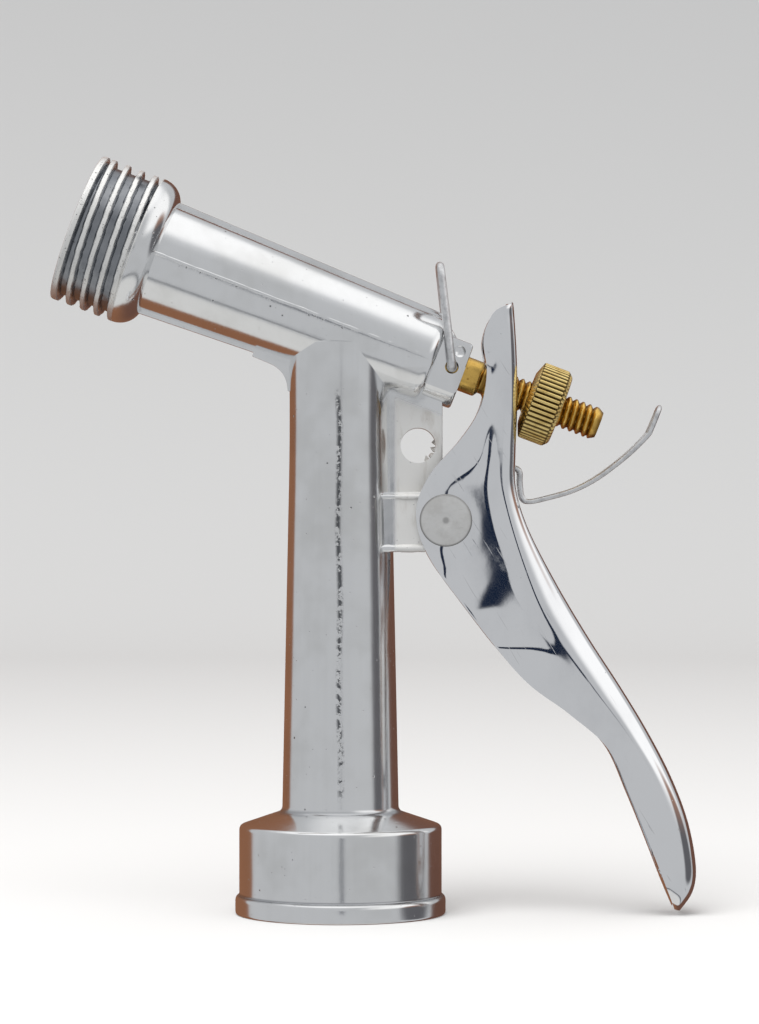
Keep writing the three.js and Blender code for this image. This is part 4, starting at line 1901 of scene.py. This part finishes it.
@dataclass
class Lever:
    """The pressed channel, drawn about its pivot: a web behind and a flange on each side."""

    width: float = 13.6
    sheet: float = 1.2
    top_bend: float = 2.3
    low_bend: float = 5.0
    bend_start: float = 4.0
    bend_reach: float = 22.0
    widest_bend: float = 0.85
    deepest_bend: float = 0.86
    lean: float = 0.05
    low_lean: float = 0.095
    tilt: float = 0.05
    tilt_reach: float = 18.0
    calm: float = 5.0
    calm_reach: float = 9.0
    level: float = -15.0
    level_reach: float = 10.0
    blend_reach: float = 3.0
    low_start: float = -30.0
    low_reach: float = 30.0
    top_depth: float = 0.33
    end_depth: float = 1.2
    top: float = 38.2
    bottom: float = -69.0
    top_round: float = 2.4
    bottom_round: float = 5.0
    slot_low: float = 18.6
    slot_high: float = 28.4
    slot_half: float = 3.3
    rivet_bore: float = 2.8
    web_place: float = 12.4
    clip_height: float = 9.2
    clip_half: float = 2.6
    clip_bore: float = 1.1
    cut_depth: float = 8.0
    stations: int = 150
    end_stations: int = 5
    web_columns: int = 8
    bend_columns: int = 14
    flange_columns: int = 22
    finish: Finish = field(default_factory=ChromedPressing)
    back: tuple[Point, ...] = (
        (11.95, 38.2), (12.5, 29), (12.6, 20), (12.3, 12), (12.4, 5.5), (14.6, -1.6),
        (19.6, -11.2), (25.4, -20.9), (30.8, -29.2), (35.6, -37.1), (39.8, -45.2),
        (42.8, -53.2), (44.2, -61), (43.6, -65.6), (41.5, -68.9),
    )
    front: tuple[Point, ...] = (
        (11.95, 38.2), (8.4, 36.4), (6.6, 31.6), (7.2, 26), (6, 19.6), (2.57, 14.2),
        (-2.8, 8), (-5.2, 1.6), (-3.4, -5.6), (2.6, -14.3), (13.2, -27.4), (21.6, -33.9),
        (28.4, -40), (32.4, -48.6), (36.6, -59), (40.3, -68.7),
    )
    rungs: tuple[float, ...] = (
        0, 2, 4, 5.5, 7, 8, 9, 9.6, 10.2, 10.9, 11.8, 12.9, 13.9, 14.5, 15,
    )
    swells: tuple[Swell, ...] = (
        Swell(6.5, -15, 11, 8, 75, 0.3),
        Swell(15.4, -16.4, 2.4, 1.2, -55, 0.05),
        Swell(6.3, 29, 3.4, 2.6, 10, 0.2),
    )

    def edges(self) -> tuple[list[Vector], list[Vector]]:
        """The back line, and the free edge's point that faces each of its points.

        Returns:
            The points of both lines.
        """
        spans = 16
        back = smooth_path([Vector(point) for point in map(self.upright, self.back)], spans)
        front = smooth_path([Vector(point) for point in map(self.upright, self.front)], spans)
        rungs = smooth_path([Vector((0, 0, rung)) for rung in self.rungs], spans)
        facing = []
        for rung in rungs:
            place = rung.z * spans
            low = min(int(place), len(front) - 2)
            facing.append(front[low].lerp(front[low + 1], place - low))
        return back, facing

    @staticmethod
    def upright(point: Point) -> tuple[float, float, float]:
        """A point of the side view, in space."""
        return point[0], 0.0, point[1]

    def ribs(self) -> list[tuple[Vector, Vector]]:
        """Even steps down the back line, each with the free edge's point it faces.

        Returns:
            Pairs of points, from top to bottom.
        """
        back, facing = self.edges()
        lengths = [0.0]
        for start, end in zip(back, back[1:]):
            lengths.append(lengths[-1] + (end - start).length)
        ribs = []
        index = 0
        for step in range(self.stations + 1):
            wanted = lengths[-1] * step / self.stations
            while index < len(back) - 2 and lengths[index + 1] < wanted:
                index += 1
            share = (wanted - lengths[index]) / (lengths[index + 1] - lengths[index])
            point = back[index].lerp(back[index + 1], share)
            ribs.append((point, facing[index].lerp(facing[index + 1], share)))
        return ribs

    def half_width(self, height: float) -> float:
        """Half the lever's width seen from behind, with its corners rounded.

        Args:
            height: the height about the pivot.

        Returns:
            Half the width there.
        """
        half = self.width / 2
        ends = ((self.top - height, self.top_round), (height - self.bottom, self.bottom_round))
        for gap, corner in ends:
            if gap < corner:
                return half - corner + math.sqrt(max(0.0, corner**2 - (corner - max(gap, 0)) ** 2))
        return half

    def bend(self, height: float) -> float:
        """How deep the bend from web to flange is.

        Args:
            height: the height about the pivot.

        Returns:
            The bend's depth.
        """
        share = eased((self.bend_start - height) / self.bend_reach)
        return self.top_bend + (self.low_bend - self.top_bend) * share

    def section(self, column: int, half: float, depth: float, bend: float) -> tuple[float, float]:
        """One point of the channel's cross-section.

        Args:
            column: columns from the middle of the web, negative on the near side.
            half: half the channel's width.
            depth: the flanges' depth.
            bend: the bend's depth.

        Returns:
            How far it is across, and how far it is in from the back.
        """
        side = -1 if column < 0 else 1
        place = abs(column)
        across = min(bend, half * self.widest_bend)
        into = min(bend, depth * self.deepest_bend)
        if place <= self.web_columns:
            return side * (half - across) * place / self.web_columns, 0.0
        place -= self.web_columns
        if place <= self.bend_columns:
            angle = place / self.bend_columns * math.pi / 2
            return side * (half - across * (1 - math.sin(angle))), into * (1 - math.cos(angle))
        share = (place - self.bend_columns) / self.flange_columns
        return side * half, into + (depth - into) * share

    def shell(self) -> bmesh.types.BMesh:
        """The channel's outer skin.

        Returns:
            The open mesh.
        """
        columns = self.web_columns + self.bend_columns + self.flange_columns
        mesh = bmesh.new()
        bmesh.ops.create_grid(mesh, x_segments=2 * columns, y_segments=self.stations, size=1)
        ribs = self.ribs()
        last = self.stations - self.end_stations
        for vert in mesh.verts:
            column = round(vert.co.x * columns)
            row = round((1 - vert.co.y) / 2 * self.stations)
            back, front = ribs[row]
            least = self.end_depth if row > last else self.top_depth
            depth = max((front - back).length, least)
            steady_back, steady_front = ribs[min(max(row, self.end_stations), last)]
            inward = (steady_front - steady_back).normalized()
            bend = self.bend(back.z)
            across, into = self.section(column, self.half_width(back.z), depth, bend)
            spot = back + inward * into
            beyond = max(0.0, into - min(bend, depth * self.deepest_bend))
            spot.y = across - math.copysign(self.pressed(spot, beyond), across)
            vert.co = spot
        return mesh

    def pressed(self, spot: Vector, beyond: float) -> float:
        """How far a flange is pressed in from flat.

        Args:
            spot: the place on the flange, about the pivot.
            beyond: how far it is past the bend.

        Returns:
            The distance inwards.
        """
        from_pivot = math.hypot(spot.x, spot.z)
        clear = eased((from_pivot - self.calm) / self.calm_reach)
        swollen = sum(swell.at(spot.x, spot.z) for swell in self.swells)
        tilted = self.tilt * spot.x * math.exp(-((from_pivot / self.tilt_reach) ** 2))
        low = eased((self.low_start - spot.z) / self.low_reach)
        lean = self.lean + (self.low_lean - self.lean) * low
        lean *= 1 - math.exp(-(((spot.z - self.level) / self.level_reach) ** 2))
        return clear * lean * beyond - (swollen + tilted) * eased(beyond / self.blend_reach)

    def holes(self) -> list[bmesh.types.BMesh]:
        """What is cut through the channel: the stem's slot, the rivet's holes, the clip's holes.

        Returns:
            The closed meshes.
        """
        corner = self.slot_half - 0.01
        outline = []
        for turn, height in ((0, self.slot_high - corner), (1, self.slot_low + corner)):
            for step in range(13):
                angle = math.pi * (turn + step / 12)
                outline.append((corner * math.cos(angle), height + corner * math.sin(angle)))
        slot = placed(plate(outline, self.cut_depth), Matrix.Rotation(math.pi / 2, 4, "Z"))
        placed(slot, Matrix.Translation((self.web_place, 0, 0)))
        clips = []
        bore = self.clip_bore
        reach = self.cut_depth / 2
        for side in (-1, 1):
            clip = turned([(0, -reach), (bore, -reach), (bore, reach), (0, reach)], 32)
            placed(clip, Matrix.Rotation(math.pi / 2, 4, "Y"))
            place = (self.web_place, side * self.clip_half, self.clip_height)
            clips.append(placed(clip, Matrix.Translation(place)))
        return [slot, cross_bar(self.rivet_bore, 2 * self.width, 0, 0), *clips]

    def build(self) -> bpy.types.Object:
        """Builds and dresses the lever.

        Returns:
            The piece.
        """
        mesh = self.shell()
        bmesh.ops.recalc_face_normals(mesh, faces=mesh.faces)
        web = max(mesh.faces, key=lambda face: face.calc_center_median().x)
        if web.normal.x < 0:
            bmesh.ops.reverse_faces(mesh, faces=mesh.faces)
        bmesh.ops.solidify(mesh, geom=mesh.faces[:], thickness=self.sheet)
        outward(mesh)
        soften(mesh, 0.3, 3)
        cut = joined(mesh, Join.CUT, *self.holes())
        placed(cut, AT_PIVOT)
        return publish(cut, "channel_lever", Body.TRIGGER, self.finish, "lever")


@dataclass
class Rivet:
    """The lever's rivet, with a thin flat head on each side."""

    shank: float = 2.5
    head: float = 4.6
    thickness: float = 0.8
    face: float = 7.1
    finish: Finish = field(default_factory=PlatedRivet)

    def build(self) -> bpy.types.Object:
        """Builds and dresses the rivet.

        Returns:
            The piece.
        """
        outer = self.face + self.thickness
        half = [
            (self.shank, self.face),
            (self.head, self.face, 0.2),
            (self.head, outer - 0.1, 0.3),
            (1.5, outer + 0.03, 0.5),
            (1.0, outer - 0.06, 0.3),
            (0, outer - 0.09),
        ]
        mirrored = [(radius, -along, *rest) for radius, along, *rest in reversed(half)]
        mesh = turned(rounded(mirrored + half, 4), ROUND)
        placed(mesh, AT_PIVOT @ Matrix.Rotation(math.pi / 2, 4, "X"))
        return publish(
            mesh, "rivet", Body.TRIGGER, self.finish, "lever_rivet"
        )


# ---- The two wire pieces -----------------------------------------------------------------------


@dataclass
class Bail:
    """The hold-open bail: a narrow loop whose ends turn into the boss's cross holes."""

    wire: float = 0.75
    reach: float = 18.1
    lean: float = math.radians(-27.3)
    flare: float = 0.3
    flare_reach: float = 0.13
    finish: Finish = field(default_factory=GalvanisedWire)

    def thickness(self, share: float) -> float:
        """The wire's radius, larger at its two flattened ends.

        Args:
            share: how far along the wire, from 0 to 1.

        Returns:
            The radius.
        """
        from_end = min(share, 1 - share) / self.flare_reach
        return self.wire * (1 + self.flare * math.exp(-(from_end**2)))

    def build(self) -> bpy.types.Object:
        """Builds and dresses the bail.

        Returns:
            The piece.
        """
        half = [
            (4, 0), (5.1, 0), (5.95, 0.35), (6.2, 1.3), (6, 4), (4.9, 12), (4.3, 16),
            (2.9, self.reach - 0.4),
        ]
        near = [Vector((0, -y, z)) for y, z in half]
        far = [Vector((0, y, z)) for y, z in reversed(half)]
        path = smooth_path([*near, Vector((0, 0, self.reach)), *far], 8)
        mesh = tube(path, self.thickness)
        tilt = BARREL.to_3x3().to_4x4() @ Matrix.Rotation(self.lean, 4, "Y")
        placed(mesh, Matrix.Translation(Joint.BAIL.place) @ tilt)
        return publish(
            mesh, "bail", Body.HOLD_OPEN, self.finish, "hold_open_bail"
        )


@dataclass
class WireClip:
    """The thin wire loop that comes out of the lever's back."""

    wire: float = 0.45
    half: float = 2.6
    finish: Finish = field(default_factory=GalvanisedWire)
    leg: tuple[Point, ...] = (
        (11.3, 9.2), (12.4, 9.2), (13.15, 8.5), (13.2, 6.5), (13.6, 4), (14.8, 3.3),
        (17.8, 3.9), (22.6, 5.3), (27, 7.6), (32, 11.4), (35.4, 14.7), (36.3, 16.1),
    )

    def build(self) -> bpy.types.Object:
        """Builds and dresses the clip.

        Returns:
            The piece.
        """
        tip = (37.7, 19.5)
        near = [Vector((x, -self.half, z)) for x, z in self.leg]
        far = [Vector((x, self.half, z)) for x, z in reversed(self.leg)]
        bridge = [Vector((tip[0], side * (self.half - 0.8), tip[1])) for side in (-1, 1)]
        mesh = tube(smooth_path([*near, *bridge, *far], 7), lambda share: self.wire, 14)
        placed(mesh, AT_PIVOT)
        return publish(
            mesh, "spring_clip", Body.WIRE_CLIP, self.finish, "lever_wire_clip"
        )


# ---- The studio --------------------------------------------------------------------------------


@dataclass
class Studio:
    """A pale bowl for a floor, soft panels for light, and the camera."""

    floor_colour: Colour = (0.74, 0.735, 0.725)
    wall_colour: Colour = (0.8, 0.79, 0.775)
    floor_radius: float = 1100
    bowl_radius: float = 700
    wall: float = 1500
    eye: tuple[float, float, float] = (6.9, -620.0, 70.97)
    half_view: float = 90.6

    def floor(self) -> None:
        """Adds the floor, which turns up into a wall far from the nozzle."""
        bend = [
            (
                self.floor_radius + self.bowl_radius * math.sin(angle),
                self.bowl_radius * (1 - math.cos(angle)),
            )
            for angle in (math.pi / 2 * step / 16 for step in range(17))
        ]
        outline = [(0, 0), *bend, (self.floor_radius + self.bowl_radius, self.wall)]
        mesh = turned(outline, 96)
        inward = mesh.faces[:]
        lowest = min(inward, key=lambda face: face.calc_center_median().z)
        if lowest.normal.z < 0:
            bmesh.ops.reverse_faces(mesh, faces=inward)
        placed(mesh, Matrix.Scale(MM, 4))
        for face in mesh.faces:
            face.smooth = True
        data = bpy.data.meshes.new("studio_floor")
        mesh.to_mesh(data)
        mesh.free()
        made = bpy.data.materials.new("studio_floor")
        made.use_nodes = True
        graph = Graph(made.node_tree)
        inputs = {"Base Color": (*self.floor_colour, 1), "Roughness": 0.9}
        shader = graph.add("ShaderNodeBsdfPrincipled", None, inputs, "BSDF")
        graph.add_output("ShaderNodeOutputMaterial", shader)
        data.materials.append(made)
        bowl = bpy.data.objects.new("studio_floor", data)
        bowl.visible_glossy = False
        bowl.visible_diffuse = False
        bpy.context.scene.collection.objects.link(bowl)

    def surroundings(self) -> None:
        """Paints the room that the chrome mirrors: panels above and beside, warm board behind."""
        world = bpy.data.worlds.new("studio")
        bpy.context.scene.world = world
        world.use_nodes = True
        graph = Graph(world.node_tree)
        heading = graph.add("ShaderNodeTexCoord", None, None, "Generated")
        x, y, z = (
            graph.add("ShaderNodeSeparateXYZ", None, {"Vector": heading}, axis) for axis in "XYZ"
        )
        room = graph.mix(z.step(0.55, 0.98), (0.54, 0.55, 0.565), (0.82, 0.83, 0.85))
        lit = graph.mix(z.step(0.72, 0.9) * y.step(0.7, 0.5), room, (1.15, 1.15, 1.15))
        lit = graph.mix(z.step(-0.76, -0.84), lit, (0.7, 0.7, 0.69))
        lit = graph.mix(abs(z + 0.743).step(0.035, 0.015) * 0.8, lit, (0.12, 0.125, 0.135))
        panel = x.step(0.3, 0.75) * z.step(0.05, 0.32) * y.step(0.6, 0.4)
        lit = graph.mix(panel, lit, (1.1, 1.1, 1.1))
        seat = graph.mix(z.step(0.05, 0.25), (0.12, 0.12, 0.13), (0.34, 0.2, 0.15))
        lit = graph.mix(x.step(0.9, 0.97) * z.step(0.46, 0.38), lit, seat)
        board = graph.mix(x.step(-0.3, 0.3), (0.27, 0.125, 0.07), (0.15, 0.075, 0.055))
        above_right = z.larger(0) * (0.72 + 1.6 * x.larger(0))
        behind = (y - 0.3 * abs(x) - above_right).step(0.16, 0.28)
        lit = graph.mix(behind, lit, board)
        watcher = abs(x - 0.035).step(0.05, 0.03) * z.band(-0.06, 0.0, 0.02) * y.step(0, -0.5)
        lit = graph.mix(watcher, lit, (0.01, 0.018, 0.04))
        seen = graph.add("ShaderNodeLightPath", None, None, "Is Camera Ray")
        pale = graph.mix(seen, lit, self.wall_colour)
        back = graph.add("ShaderNodeBackground", None, {"Color": pale}, "Background")
        graph.add_output("ShaderNodeOutputWorld", back)

    def lights(self) -> None:
        """Adds one broad soft light overhead, which the metal doesn't mirror."""
        data = bpy.data.lights.new("soft_overhead", "AREA")
        data.shape = "DISK"
        data.size = 0.9
        data.energy = 10
        lamp = bpy.data.objects.new("soft_overhead", data)
        lamp.location = (-0.25, -0.45, 0.95)
        aim = Vector((0, 0, 0.05)) - lamp.location
        lamp.rotation_euler = aim.to_track_quat("-Z", "Y").to_euler()
        lamp.visible_glossy = False
        bpy.context.scene.collection.objects.link(lamp)

    def camera(self) -> None:
        """Adds the camera, level and square to the nozzle's side."""
        data = bpy.data.cameras.new("camera")
        data.sensor_fit = "VERTICAL"
        data.sensor_height = 36
        data.sensor_width = 36
        data.lens = data.sensor_height / 2 * abs(self.eye[1]) / self.half_view
        data.clip_start = 0.01
        data.clip_end = 20
        eye = bpy.data.objects.new("camera", data)
        eye.location = Vector(self.eye) * MM
        eye.rotation_euler = (math.pi / 2, 0, 0)
        bpy.context.scene.collection.objects.link(eye)
        bpy.context.scene.camera = eye

    def build(self) -> None:
        """Builds the studio."""
        self.camera()
        self.floor()
        self.surroundings()
        self.lights()
        bpy.context.scene.view_settings.view_transform = "Standard"


def main() -> None:
    """Builds every piece, then the studio."""
    logging.basicConfig(level=logging.INFO, format="%(name)s: %(message)s")
    Casting().build()
    for piece in inner_pieces():
        piece.build()
    Stem().build()
    Spring().build()
    Nut().build()
    Lever().build()
    Rivet().build()
    Bail().build()
    WireClip().build()
    Studio().build()
    log.info("sizes written")


if __name__ == "__main__":
    main()
